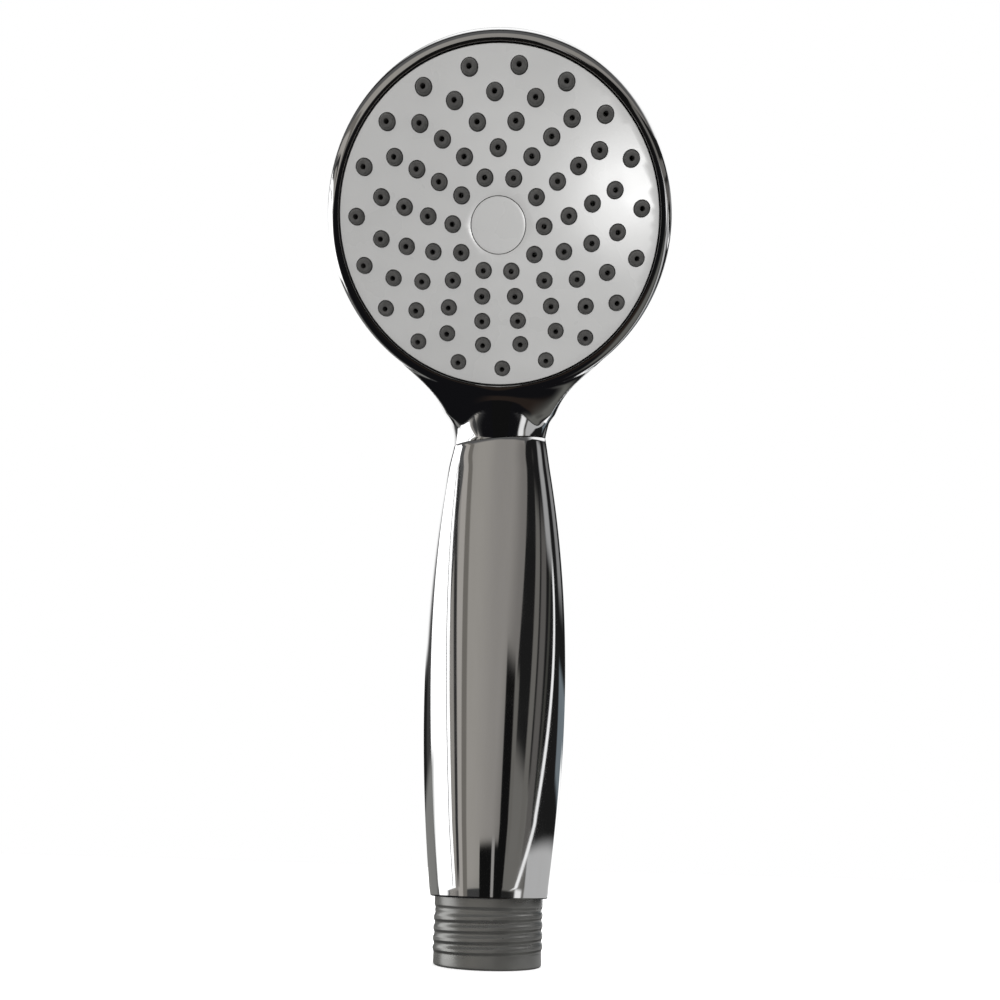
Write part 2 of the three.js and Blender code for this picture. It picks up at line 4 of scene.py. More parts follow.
import bmesh
import bpy
import numpy as np
from mathutils import Matrix, Vector
from mathutils.geometry import delaunay_2d_cdt

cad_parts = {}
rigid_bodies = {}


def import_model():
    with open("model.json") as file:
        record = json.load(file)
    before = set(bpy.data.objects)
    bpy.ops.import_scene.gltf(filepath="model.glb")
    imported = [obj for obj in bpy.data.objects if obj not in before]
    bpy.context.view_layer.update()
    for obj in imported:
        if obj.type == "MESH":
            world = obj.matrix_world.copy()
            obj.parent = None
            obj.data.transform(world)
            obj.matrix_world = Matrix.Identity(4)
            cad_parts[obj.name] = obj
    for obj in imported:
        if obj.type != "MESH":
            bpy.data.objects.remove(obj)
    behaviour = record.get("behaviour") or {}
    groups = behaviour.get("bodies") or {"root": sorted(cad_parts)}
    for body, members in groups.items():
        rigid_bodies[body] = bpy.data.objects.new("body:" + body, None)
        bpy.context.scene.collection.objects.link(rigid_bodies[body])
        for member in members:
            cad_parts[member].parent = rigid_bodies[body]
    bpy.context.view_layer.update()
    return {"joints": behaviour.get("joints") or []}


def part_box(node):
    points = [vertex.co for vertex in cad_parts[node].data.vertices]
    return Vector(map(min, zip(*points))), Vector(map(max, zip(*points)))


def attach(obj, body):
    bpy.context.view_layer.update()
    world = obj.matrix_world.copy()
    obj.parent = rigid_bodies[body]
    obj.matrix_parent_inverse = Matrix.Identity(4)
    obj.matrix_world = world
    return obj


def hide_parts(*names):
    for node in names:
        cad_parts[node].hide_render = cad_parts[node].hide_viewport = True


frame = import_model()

# Shapes are worked out in millimetres and put into the meshes in metres.
mm = 0.001
fullTurn = 2 * math.pi
joints = {joint["name"]: joint for joint in frame["joints"]}


def nodeSpan(node, axis):
    # Lowest and highest place of a CAD node along one axis, in millimetres.
    low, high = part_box(node)
    return low[axis] / mm, high[axis] / mm


# ---- camera

cameraValues = {
    "place": (0.00732, -0.18198, 0.01809),
    "yaw": math.radians(-2.254),
    "pitch": math.radians(19.948),
    "roll": math.radians(1.686),
    "lens": 31.32,
    "shiftUp": 0.048,
}


def makeCamera(values):
    # Looks along yaw and pitch from +Y, then rolls about its own line of sight.
    yaw, pitch, roll = values["yaw"], values["pitch"], values["roll"]
    forward = np.array([math.sin(yaw) * math.cos(pitch), math.cos(yaw) * math.cos(pitch), math.sin(pitch)])
    right = np.array([math.cos(yaw), -math.sin(yaw), 0])
    up = np.cross(right, forward)
    rolledRight = math.cos(roll) * right + math.sin(roll) * up
    rolledUp = -math.sin(roll) * right + math.cos(roll) * up
    turn = np.eye(4)
    turn[:3, :3] = np.stack([rolledRight, rolledUp, -forward], axis=1)
    turn[:3, 3] = values["place"]
    data = bpy.data.cameras.new("studioCamera")
    data.lens = values["lens"]
    data.sensor_width = 36
    data.shift_y = values["shiftUp"]
    data.clip_start = 0.005
    camera = bpy.data.objects.new("studioCamera", data)
    bpy.context.scene.collection.objects.link(camera)
    camera.matrix_world = Matrix(turn.tolist())
    bpy.context.scene.camera = camera


makeCamera(cameraValues)
print("camera placed")

# ---- the lines that the shower head is built on

handle = {"straight": 26, "arcRadius": 223, "arcAngle": math.radians(20.27), "radii": (11.45, 15.8, 16.1, 9.75)}
neck = {"radius": 9.7, "bendRadius": 40, "bendAngle": math.radians(21.53), "reach": 17.5, "seamSlope": 0.1}
neckFront = {"squeeze": 0.15, "from": 8, "over": 9, "swell": 0.2}
neckBack = {"squeeze": 0.6, "from": 4, "over": 15, "swell": 0.0}
swellLength = 16
neckFlare = {"share": 0.11, "over": 6.5}
head = {"rim": nodeSpan("head_shell", 0)[1], "bead": 2.2, "depth": 19, "power": 2.3, "wall": 1.6}
softJoin = {"most": 14.0, "least": 2.4, "behindFace": 3.0, "pastSeam": 6.5}
recess = {"radius": 30.4, "depth": 5.4}
collarHeight = nodeSpan("handle_sleeve", 2)[0]
seam = handle["straight"] + handle["arcRadius"] * handle["arcAngle"]
neckEnd = seam + neck["bendRadius"] * neck["bendAngle"]

faceCentre = np.array(joints["screw_turn"]["pos_m"]) / mm
faceOut = np.array(joints["screw_turn"]["axis"])
faceOut = faceOut / np.linalg.norm(faceOut)
faceAcross = np.array([1.0, 0, 0])
faceUp = np.cross(faceOut, faceAcross)


def easeIn(x):
    # 3t^2 - 2t^3 of x held between 0 and 1.
    t = np.clip(x, 0, 1)
    return t * t * (3 - 2 * t)


def centreLine(s):
    # Straight, a long arc in the handle, a tight arc in the neck, straight: y, z and the heading at length s.
    s = np.asarray(s, float)
    lower = np.clip((s - handle["straight"]) / handle["arcRadius"], 0, handle["arcAngle"])
    heading = lower + np.clip((s - seam) / neck["bendRadius"], 0, neck["bendAngle"])
    beyond = np.maximum(s - neckEnd, 0)
    y = handle["arcRadius"] * (np.cos(lower) - 1) + neck["bendRadius"] * (np.cos(heading) - np.cos(lower))
    z = handle["arcRadius"] * np.sin(lower) + neck["bendRadius"] * (np.sin(heading) - np.sin(lower))
    z = z + np.minimum(s, handle["straight"])
    return y - beyond * np.sin(heading), z + beyond * np.cos(heading), heading


def alongCentreLine(points):
    # Height becomes length along the centre line, and y leans with its heading.
    y, z, heading = centreLine(points[..., 2])
    return np.stack([
        points[..., 0],
        y + points[..., 1] * np.cos(heading),
        z + points[..., 1] * np.sin(heading),
    ], axis=-1)


def fromFaceAxes(points):
    # u across, v up the face and w out of it become the part's own axes.
    return faceCentre + points @ np.stack([faceAcross, faceUp, faceOut])


def standing(points):
    return points


# ---- meshes

def gridFaces(rows, columns, closedRows):
    # Quads between each row and the next; columns wrap round, and rows do where the outline closes on itself.
    i = np.arange(rows if closedRows else rows - 1)[:, None]
    j = np.arange(columns)[None, :]
    here, above = i * columns, ((i + 1) % rows) * columns
    beside = (j + 1) % columns
    return np.stack([here + j, here + beside, above + beside, above + j], axis=-1).reshape(-1, 4)


def weldedMesh(name, points, faces, sharpFrom=32):
    # Points in millimetres; coincident ones are merged, so that seams and poles are closed.
    mesh = bpy.data.meshes.new(name)
    mesh.from_pydata((np.asarray(points) * mm).tolist(), [], faces)
    work = bmesh.new()
    work.from_mesh(mesh)
    bmesh.ops.remove_doubles(work, verts=work.verts, dist=1e-6)
    bmesh.ops.dissolve_degenerate(work, edges=work.edges, dist=1e-7)
    work.to_mesh(mesh)
    work.free()
    mesh.shade_smooth()
    mesh.set_sharp_from_angle(angle=math.radians(sharpFrom))
    return mesh


def roundedOutline(outline, edge, steps=3):
    # Each corner becomes a short parabola that meets its two sides at most edge away from it.
    corner = np.asarray(outline, float)
    before = np.roll(corner, 1, axis=0) - corner
    after = np.roll(corner, -1, axis=0) - corner
    lengthBefore = np.hypot(*before.T)[:, None]
    lengthAfter = np.hypot(*after.T)[:, None]
    cut = np.minimum(edge, 0.4 * np.minimum(lengthBefore, lengthAfter)) * (corner[:, :1] > 0)
    start = (corner + before / lengthBefore * cut)[:, None, :]
    end = (corner + after / lengthAfter * cut)[:, None, :]
    t = np.linspace(0, 1, steps + 1)[None, :, None]
    return ((1 - t) ** 2 * start + 2 * t * (1 - t) * corner[:, None, :] + t ** 2 * end).reshape(-1, 2)


def closelySpaced(outline, step):
    # Each side of the outline is split into equal lengths no longer than step.
    following = np.roll(outline, -1, axis=0)
    parts = np.maximum(np.ceil(np.hypot(*(following - outline).T) / step), 1).astype(int)
    if outline[0][0] == 0:
        parts[-1] = 1
    share = (np.arange(parts.sum()) - np.repeat(np.cumsum(parts) - parts, parts)) / np.repeat(parts, parts)
    start = np.repeat(outline, parts, axis=0)
    return start + (np.repeat(following, parts, axis=0) - start) * share[:, None]


def turnedGrid(outline, columns):
    # Each [radius, height] of the outline goes round the axis.
    angle = np.arange(columns) * fullTurn / columns
    radius, height = outline[:, :1], outline[:, 1:]
    return np.stack(np.broadcast_arrays(radius * np.cos(angle), radius * np.sin(angle), height), axis=-1)


def turnedMesh(name, outline, place, edge=0.12, columns=96, step=None):
    # A solid of revolution with softened edges, put in place by the function given.
    rounded = roundedOutline(outline, edge)
    if step:
        rounded = closelySpaced(rounded, step)
    grid = turnedGrid(rounded, columns)
    closedRows = outline[0][0] > 0
    return weldedMesh(name, place(grid).reshape(-1, 3), gridFaces(len(rounded), columns, closedRows).tolist())


def boxMesh(name, low, high, place, spin=0):
    # A plain block used as a cutting tool, turned by spin about the axis first.
    xs, ys, zs = zip(low, high)
    corners = np.array([[x, y, z] for z in zs for y in ys for x in xs])
    turn = np.array([[math.cos(spin), math.sin(spin), 0], [-math.sin(spin), math.cos(spin), 0], [0, 0, 1]])
    faces = [(0, 2, 3, 1), (4, 5, 7, 6), (0, 1, 5, 4), (2, 6, 7, 3), (0, 4, 6, 2), (1, 3, 7, 5)]
    return weldedMesh(name, place(corners @ turn), faces)


def joinedMesh(name, meshes):
    # Separate tools as one mesh.
    work = bmesh.new()
    for mesh in meshes:
        work.from_mesh(mesh)
    whole = bpy.data.meshes.new(name)
    work.to_mesh(whole)
    work.free()
    return whole


def combined(mesh, tool, operation):
    # The mesh after one exact cut or join.
    base = bpy.data.objects.new("base", mesh)
    other = bpy.data.objects.new("tool", tool)
    for item in (base, other):
        bpy.context.scene.collection.objects.link(item)
    step = base.modifiers.new("combine", "BOOLEAN")
    step.operation = operation
    step.solver = "EXACT"
    step.object = other
    view = bpy.context.evaluated_depsgraph_get()
    result = bpy.data.meshes.new_from_object(base.evaluated_get(view))
    for item in (base, other):
        bpy.data.objects.remove(item)
    result.shade_smooth()
    result.set_sharp_from_angle(angle=math.radians(32))
    return result


def addPiece(name, mesh, body, slotName, *nodes):
    # One finished piece: its finish, the body that it rides on and the CAD nodes that it stands for.
    mesh.name = name
    piece = bpy.data.objects.new(name, mesh)
    bpy.context.scene.collection.objects.link(piece)
    mesh.materials.clear()
    mesh.materials.append(finishes[slotName])
    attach(piece, body)
    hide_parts(*nodes)
    return piece


# ---- finishes

def newMaterial(name, color, roughness, metallic=0.0):
    material = bpy.data.materials.new(name)
    material.use_nodes = True
    shader = material.node_tree.nodes["Principled BSDF"]
    shader.inputs["Base Color"].default_value = (*color, 1)
    shader.inputs["Roughness"].default_value = roughness
    shader.inputs["Metallic"].default_value = metallic
    return material, material.node_tree, shader


def noiseNode(tree, scale, detail=3, stretch=(1, 1, 1), distortion=0.0):
    # Noise on the piece's own coordinates; scale is in waves to the metre.
    coordinates = tree.nodes.new("ShaderNodeTexCoord")
    mapping = tree.nodes.new("ShaderNodeMapping")
    mapping.inputs["Scale"].default_value = stretch
    noise = tree.nodes.new("ShaderNodeTexNoise")
    noise.inputs["Scale"].default_value = scale
    noise.inputs["Detail"].default_value = detail
    noise.inputs["Distortion"].default_value = distortion
    tree.links.new(coordinates.outputs["Object"], mapping.inputs["Vector"])
    tree.links.new(mapping.outputs["Vector"], noise.inputs["Vector"])
    return noise.outputs["Fac"]


def rangeNode(tree, value, low, high, fromLow=0.3, fromHigh=0.7):
    # The value's middle range stretched to low..high.
    spread = tree.nodes.new("ShaderNodeMapRange")
    spread.inputs["From Min"].default_value = fromLow
    spread.inputs["From Max"].default_value = fromHigh
    spread.inputs["To Min"].default_value = low
    spread.inputs["To Max"].default_value = high
    tree.links.new(value, spread.inputs["Value"])
    return spread.outputs["Result"]


def colorNode(tree, value, stops):
    # A colour ramp with (place, colour) stops.
    ramp = tree.nodes.new("ShaderNodeValToRGB")
    elements = ramp.color_ramp.elements
    while len(elements) < len(stops):
        elements.new(0.5)
    for element, (place, color) in zip(elements, stops):
        element.position = place
        element.color = (*color, 1)
    tree.links.new(value, ramp.inputs["Fac"])
    return ramp.outputs["Color"]


def bumpNode(tree, heightValue, distance, strength=1.0, under=None):
    # Relief of the given height in metres, laid over another relief where one is given.
    bump = tree.nodes.new("ShaderNodeBump")
    bump.inputs["Strength"].default_value = strength
    bump.inputs["Distance"].default_value = distance
    tree.links.new(heightValue, bump.inputs["Height"])
    if under:
        tree.links.new(under, bump.inputs["Normal"])
    return bump.outputs["Normal"]


chromeValues = {
    "color": (0.84, 0.84, 0.845), "dimColor": (0.825, 0.825, 0.825), "roughLow": 0.03, "roughHigh": 0.075,
    "wobbleScale": 55, "wobbleHeight": 0.00004, "scratchScale": 900, "scratchHeight": 0.0000006,
}


def chromeFinish(values):
    # Plated plastic: a mirror with a slow orange-peel wobble, faint polishing marks and smudges.
    material, tree, shader = newMaterial("chromePlate", values["color"], values["roughLow"], 1.0)
    smudge = noiseNode(tree, 140, detail=5)
    marks = noiseNode(tree, values["scratchScale"], detail=2, stretch=(1, 1, 0.06))
    wobble = noiseNode(tree, values["wobbleScale"], detail=1, stretch=(1, 1, 0.35))
    color = colorNode(tree, marks, [(0.3, values["dimColor"]), (0.7, values["color"])])
    tree.links.new(color, shader.inputs["Base Color"])
    tree.links.new(rangeNode(tree, smudge, values["roughLow"], values["roughHigh"]), shader.inputs["Roughness"])
    slow = bumpNode(tree, wobble, values["wobbleHeight"])
    tree.links.new(bumpNode(tree, marks, values["scratchHeight"], under=slow), shader.inputs["Normal"])
    return material


faceValues = {
    "color": (0.56, 0.56, 0.555), "dimColor": (0.53, 0.53, 0.525), "roughLow": 0.24, "roughHigh": 0.32,
    "grainScale": 2600, "grainHeight": 0.000004, "cloudScale": 60,
}


def faceFinish(values):
    # Silver-grey moulded plastic with a fine satin grain and slow clouds of tone.
    material, tree, shader = newMaterial("faceGreyPlastic", values["color"], values["roughLow"], 0.0)
    cloud = noiseNode(tree, values["cloudScale"], detail=4)
    grain = noiseNode(tree, values["grainScale"], detail=2)
    color = colorNode(tree, cloud, [(0.3, values["dimColor"]), (0.7, values["color"])])
    tree.links.new(color, shader.inputs["Base Color"])
    tree.links.new(rangeNode(tree, cloud, values["roughLow"], values["roughHigh"]), shader.inputs["Roughness"])
    tree.links.new(bumpNode(tree, grain, values["grainHeight"]), shader.inputs["Normal"])
    shader.inputs["Specular IOR Level"].default_value = 0.5
    return material


siliconeValues = {
    "color": (0.125, 0.123, 0.12), "dustColor": (0.18, 0.178, 0.174), "rough": 0.62,
    "grainScale": 1800, "grainHeight": 0.00001,
}


def siliconeFinish(values):
    # Dark grey silicone, matt, with a light dusty mottle.
    material, tree, shader = newMaterial("darkSilicone", values["color"], values["rough"], 0.0)
    dust = noiseNode(tree, 700, detail=4)
    grain = noiseNode(tree, values["grainScale"], detail=3)
    color = colorNode(tree, dust, [(0.35, values["color"]), (0.75, values["dustColor"])])
    tree.links.new(color, shader.inputs["Base Color"])
    roughness = rangeNode(tree, grain, values["rough"] - 0.08, values["rough"] + 0.08)
    tree.links.new(roughness, shader.inputs["Roughness"])
    tree.links.new(bumpNode(tree, grain, values["grainHeight"]), shader.inputs["Normal"])
    return material


plasticKinds = {
    "inlet_grey": {
        "color": (0.33, 0.33, 0.32), "dimColor": (0.28, 0.28, 0.27), "rough": 0.3, "metallic": 0.75,
        "grainScale": 420, "stretch": (1, 1, 5), "grainHeight": 0.00001,
    },
    "inner_plastic": {
        "color": (0.70, 0.70, 0.68), "dimColor": (0.62, 0.62, 0.59), "rough": 0.42,
        "grainScale": 900, "stretch": (1, 1, 1), "grainHeight": 0.000008,
    },
    "dark_plastic": {
        "color": (0.030, 0.033, 0.037), "dimColor": (0.022, 0.024, 0.027), "rough": 0.45,
        "grainScale": 900, "stretch": (1, 1, 1), "grainHeight": 0.000008,
    },
    "rubber": {
        "color": (0.012, 0.012, 0.012), "dimColor": (0.022, 0.022, 0.021), "rough": 0.7,
        "grainScale": 1500, "stretch": (1, 1, 1), "grainHeight": 0.000012,
    },
}


def plasticFinish(name, values):
    # Moulded plastic or rubber: two near tones in a soft mottle, with a fine grain.
    material, tree, shader = newMaterial(name, values["color"], values["rough"], values.get("metallic", 0.0))
    mottle = noiseNode(tree, values["grainScale"] / 6, detail=4, stretch=values["stretch"])
    grain = noiseNode(tree, values["grainScale"], detail=3, stretch=values["stretch"])
    color = colorNode(tree, mottle, [(0.3, values["dimColor"]), (0.7, values["color"])])
    tree.links.new(color, shader.inputs["Base Color"])
    roughness = rangeNode(tree, mottle, values["rough"] - 0.06, values["rough"] + 0.08)
    tree.links.new(roughness, shader.inputs["Roughness"])
    tree.links.new(bumpNode(tree, grain, values["grainHeight"]), shader.inputs["Normal"])
    return material


metalKinds = {
    "steel": {"color": (0.56, 0.56, 0.57), "dimColor": (0.45, 0.45, 0.46), "rough": 0.24, "grainScale": 1500},
    "brass": {"color": (0.76, 0.55, 0.22), "dimColor": (0.60, 0.42, 0.16), "rough": 0.28, "grainScale": 1300},
}


def metalFinish(name, values):
    # Turned metal: tool marks as a fine noise in tone, roughness and relief.
    material, tree, shader = newMaterial(name, values["color"], values["rough"], 1.0)
    marks = noiseNode(tree, values["grainScale"], detail=3, stretch=(1, 4, 4))
    color = colorNode(tree, marks, [(0.3, values["dimColor"]), (0.7, values["color"])])
    tree.links.new(color, shader.inputs["Base Color"])
    roughness = rangeNode(tree, marks, values["rough"] - 0.06, values["rough"] + 0.1)
    tree.links.new(roughness, shader.inputs["Roughness"])
    tree.links.new(bumpNode(tree, marks, 0.000003), shader.inputs["Normal"])
    return material


finishes = {
    "chrome": chromeFinish(chromeValues),
    "face_grey": faceFinish(faceValues),
    "silicone": siliconeFinish(siliconeValues),
}
for kind, values in plasticKinds.items():
    finishes[kind] = plasticFinish(kind, values)
for kind, values in metalKinds.items():
    finishes[kind] = metalFinish(kind, values)
print("finishes made:", len(finishes))

# ---- chromed head

seamY, seamZ = centreLine(seam)[:2]
seamFromFace = np.array([0, float(seamY), float(seamZ)]) - faceCentre
seamV, seamW = float(seamFromFace @ faceUp), float(seamFromFace @ faceOut)
alongV, alongW = math.cos(neck["bendAngle"]), -math.sin(neck["bendAngle"])
bendV = seamV - alongW * neck["bendRadius"]
bendW = seamW + alongV * neck["bendRadius"]

headValues = {"columns": 160, "skinRows": 64, "beadRows": 9, "wallRows": 5, "insideRows": 30, "seamGap": 0.05}


def bowlDistance(p, w):
    # A bead of small radius round the face, and a superellipse behind it.
    below = np.minimum(w + head["bead"], 0)
    level = ((p / head["rim"]) ** head["power"] + (-below / head["depth"]) ** head["power"]) ** (1 / head["power"])
    behind = np.hypot(p, below) * (1 - 1 / np.maximum(level, 1e-6))
    fromBead = p - (head["rim"] - head["bead"])
    front = np.where(fromBead > 0, np.hypot(fromBead, w + head["bead"]) - head["bead"], w)
    return np.where(w < -head["bead"], behind, front)


def neckPlace(v, w):
    # Length past the seam, and offset to the front, beside the neck's bent centre line.
    fromV, fromW = v - bendV, w - bendW
    angle = np.arctan2(fromV * alongV + fromW * alongW, fromV * alongW - fromW * alongV)
    dv, dw = v - seamV, w - seamW
    past = np.where(angle < 0, dv * alongV + dw * alongW, neck["bendRadius"] * angle)
    offset = np.where(angle < 0, -dv * alongW + dw * alongV, neck["bendRadius"] - np.hypot(fromV, fromW))
    beyond = angle >= neck["bendAngle"]
    past = np.where(beyond, neck["bendRadius"] * neck["bendAngle"] + fromV, past)
    return past, np.where(beyond, fromW + neck["bendRadius"], offset)


def neckDistance(u, past, offset):
    # A round tube that swells a little at its front by t (1 - t)^2, flares sideways above the seam, grows flatter,
    # most at its back, and ends in a round cap inside the bowl.
    along = np.clip(past / swellLength, 0, 1)
    swell = along * (1 - along) ** 2
    flatness = [
        1 + side["squeeze"] * easeIn((past - side["from"]) / side["over"]) - side["swell"] * swell
        for side in (neckBack, neckFront)
    ]
    flat = offset * np.where(offset < 0, *flatness)
    wide = 1 + neckFlare["share"] * easeIn(past / neckFlare["over"])
    return np.sqrt((u / wide) ** 2 + flat ** 2 + np.maximum(past - neck["reach"], 0) ** 2) - neck["radius"]


def headDistance(points):
    # Bowl and neck run together by a smooth minimum, widest behind the face and clear of the seam.
    u, v, w = points[..., 0], points[..., 1], points[..., 2]
    past, offset = neckPlace(v, w)
    bowl = bowlDistance(np.hypot(u, v), w)
    tube = neckDistance(u, past, offset)
    growth = easeIn(-w / softJoin["behindFace"]) * easeIn(past / softJoin["pastSeam"])
    width = softJoin["least"] + (softJoin["most"] - softJoin["least"]) * growth
    share = np.clip(0.5 + (tube - bowl) / (2 * width), 0, 1)
    return tube * (1 - share) + bowl * share - width * share * (1 - share)


def ontoSkin(points, level, passes=14):
    # Newton's method along the steepest way to the surface at the given level.
    step = 1e-3
    for _ in range(passes):
        here = headDistance(points)
        slope = np.stack([(headDistance(points + step * axis) - here) / step for axis in np.eye(3)], axis=-1)
        points = points - ((here - level) / (slope ** 2).sum(-1))[..., None] * slope
    return points


def guideRows(shares, columns, seamRadius, seamShift, rimRadius, rimW):
    # A cubic curve for each angle round the neck, from the seam's circle to the rim's.
    angle = np.arange(columns) * fullTurn / columns
    across, front = np.sin(angle), np.cos(angle)
    behind = (1 - front) / 2
    shift = seamShift + neck["seamSlope"] * seamRadius * across
    start = np.stack([
        seamRadius * across,
        seamV + alongV * shift - alongW * seamRadius * front,
        seamW + alongW * shift + alongV * seamRadius * front,
    ], axis=-1)
    end = np.stack([rimRadius * across, -rimRadius * front, np.full(columns, float(rimW))], axis=-1)
    reach = (3 + 30 * behind)[:, None]
    leaving = start + reach * np.array([0, alongV, alongW])
    meeting = end + np.stack([0 * angle, -3 * (1 - behind), -22 * behind], axis=-1)
    t = np.asarray(shares)[:, None, None]
    return (1 - t) ** 3 * start + 3 * t * (1 - t) ** 2 * leaving + 3 * t * t * (1 - t) * meeting + t ** 3 * end


def beadRows(last, count):
    # Rays from the bead's centre, each cut back to the surface by halving.
    p = np.hypot(last[:, 0], last[:, 1])
    centre = head["rim"] - head["bead"]
    first = np.arctan2(last[:, 2] + head["bead"], p - centre)
    angle = first + (math.pi / 2 - first) * (np.arange(1, count + 1)[:, None] / count)
    near, far = np.full(angle.shape, 0.2), np.full(angle.shape, 14.0)

    def at(length):
        radius = (centre + length * np.cos(angle)) / p
        rise = length * np.sin(angle) - head["bead"]
        return np.stack([last[:, 0] * radius, last[:, 1] * radius, rise], axis=-1)

    for _ in range(30):
        middle = (near + far) / 2
        inside = headDistance(at(middle)) < 0
        near, far = np.where(inside, middle, near), np.where(inside, far, middle)
    return at(near)


def circleRows(profile, columns):
    # Rows round the face's axis that start at its lower side, as the skin's columns do.
    angle = np.arange(columns) * fullTurn / columns
    radius, w = profile[:, :1], profile[:, 1:]
    return np.stack(np.broadcast_arrays(radius * np.sin(angle), -radius * np.cos(angle), w), axis=-1)


def headShellMesh(values):
    # Skin from the seam to the rim, bead, recess wall, and the inside back to the seam, as one closed grid.
    columns = values["columns"]
    skin = guideRows(
        np.linspace(0, 1, values["skinRows"] + 1), columns, neck["radius"], values["seamGap"], head["rim"],
        -head["bead"],
    )
    skin = ontoSkin(skin, 0)
    edge = neck["radius"] - 0.12
    lip = guideRows([0], columns, edge, values["seamGap"] - 0.04, head["rim"], -head["bead"])
    bead = beadRows(skin[-1], values["beadRows"])
    depths = np.linspace(-0.3, -recess["depth"], values["wallRows"])
    wall = np.stack([np.full(len(depths), recess["radius"]), depths], axis=-1)
    corner = np.array([[recess["radius"] + 0.06, -0.03], [recess["radius"] + 0.01, -0.12]])
    front = circleRows(np.concatenate([corner, wall]), columns)
    shares = np.linspace(1, 0, values["insideRows"] + 1)[1:]
    hollow = guideRows(
        shares, columns, neck["radius"] - head["wall"], values["seamGap"] - 0.04, recess["radius"], -recess["depth"]
    )
    hollow[:-1] = ontoSkin(hollow[:-1], -head["wall"])
    rows = np.concatenate([lip, skin, bead, front, hollow])
    faces = gridFaces(len(rows), columns, True)
    return weldedMesh("head", fromFaceAxes(rows).reshape(-1, 3), faces.tolist())


addPiece("chromed_head", headShellMesh(headValues), "handset", "chrome", "head_shell")
print("head shell made")

# ---- chromed handle sleeve

sleeveValues = {
    "columns": 144, "rows": 110, "lip": 0.35, "wall": 1.8, "seamGap": 0.05, "bore": 10.7, "shoulder": 25.9,
    "ledge": 9.4,
}


def sleeveRadius(s):
    # A cubic curve over the length from the collar to the seam.
    t = (s - collarHeight) / (seam - collarHeight)
    a, b, c, d = handle["radii"]
    return a * (1 - t) ** 3 + 3 * b * t * (1 - t) ** 2 + 3 * c * t * t * (1 - t) + d * t ** 3


def sleeveMesh(values):
    # The outline goes out round the rolled bottom lip, up the barrel, over the seam edge and back down inside.
    top = seam - values["seamGap"]
    lip = values["lip"]
    turn = np.linspace(-math.pi / 2, 0, 7)
    rolled = np.stack([
        sleeveRadius(collarHeight) - lip + lip * np.cos(turn), collarHeight + lip + lip * np.sin(turn)
    ], axis=-1)
    height = np.linspace(collarHeight + lip, top - 0.1, values["rows"])[1:]
    barrel = np.stack([sleeveRadius(height), height], axis=-1)
    mouth = neck["radius"] - head["wall"]
    insideHeight = np.linspace(top - 14, values["shoulder"] + 5, 24)
    inside = np.stack([sleeveRadius(insideHeight) - values["wall"], insideHeight], axis=-1)
    edge = sleeveRadius(top)
    seamEdge = [[edge - 0.02, top - 0.03], [edge - 0.1, top], [mouth, top], [mouth, top - 12]]
    ledge = [[values["ledge"], values["shoulder"] + 3], [values["ledge"], values["shoulder"]]]
    clear = values["bore"]
    bore = [[clear, values["shoulder"]], [clear, collarHeight + 0.2], [clear + 0.1, collarHeight]]
    outline = np.concatenate([rolled, barrel, seamEdge, inside, ledge, bore])
    grid = turnedGrid(outline, values["columns"])
    near = easeIn((grid[..., 2] - top + 6) / 6)
    grid[..., 2] += near * neck["seamSlope"] * grid[..., 0]
    faces = gridFaces(len(outline), values["columns"], True)
    return weldedMesh("sleeve", alongCentreLine(grid).reshape(-1, 3), faces.tolist())


addPiece("chromed_handle", sleeveMesh(sleeveValues), "handset", "chrome", "handle_sleeve")
print("handle sleeve made")

# ---- threaded inlet

threadValues = {
    "crest": 10.48, "depth": 0.22, "pitch": 1.814, "start": 2.0, "end": 10.0, "runOut": 0.9, "rows": 90,
    "columns": 144,
    "bore": 7.0, "spigot": 10.4, "limit": 14, "throat": 3.4, "socketFrom": 17, "socket": 4.9, "socketTop": 22.4,
    "sealBore": 6.6, "grooveFrom": 18, "grooveTo": 20.2, "groove": 8.7,
}


def inletMesh(values):
    # The crest minus a raised cosine that climbs one pitch a turn, faded out at both ends.
    columns = values["columns"]
    angle = np.arange(columns) * fullTurn / columns
    height = np.linspace(values["start"], values["end"], values["rows"])[:, None]
    turns = height / values["pitch"] - angle / fullTurn
    fadeIn = easeIn((height - values["start"]) / values["runOut"])
    fade = fadeIn * easeIn((values["end"] - height) / values["runOut"])
    ridge = 0.5 + 0.5 * np.cos(fullTurn * turns)
    radius = values["crest"] - values["depth"] * (1 - fade * np.minimum(1.25 * ridge, 1))
    threaded = np.stack(
        np.broadcast_arrays(radius * np.cos(angle), radius * np.sin(angle), height), axis=-1
    )
    plain = values["crest"] - values["depth"]
    foot = roundedOutline([[values["bore"], 1.2], [values["bore"], 0], [plain, 0], [plain, 1.2]], 0.45, 5)[6:-6]
    top = nodeSpan("inlet_spigot", 2)[1]
    above = roundedOutline([
        [plain, values["end"]],
        [values["crest"], values["end"] + 0.5],
        [values["crest"], collarHeight - 0.06],
        [values["spigot"], collarHeight + 0.3],
        [values["spigot"], values["grooveFrom"]],
        [values["groove"], values["grooveFrom"]],
        [values["groove"], values["grooveTo"]],
        [values["spigot"], values["grooveTo"]],
        [values["spigot"], top],
        [values["sealBore"], top],
        [values["sealBore"], values["socketTop"]],
        [values["socket"], values["socketTop"]],
        [values["socket"], values["socketFrom"]],
        [values["throat"], values["socketFrom"]],
        [values["throat"], values["limit"]],
        [values["bore"], values["limit"]],
        [values["bore"], 1.2],
    ], 0.15)
    rows = np.concatenate([turnedGrid(foot, columns), threaded, turnedGrid(above[4:], columns)])
    return weldedMesh("inlet", rows.reshape(-1, 3), gridFaces(len(rows), columns, True).tolist())


addPiece("threaded_inlet", inletMesh(threadValues), "handset", "inlet_grey", "inlet_spigot")
print("inlet made")

# ---- the face: plate, nozzle mat and cap

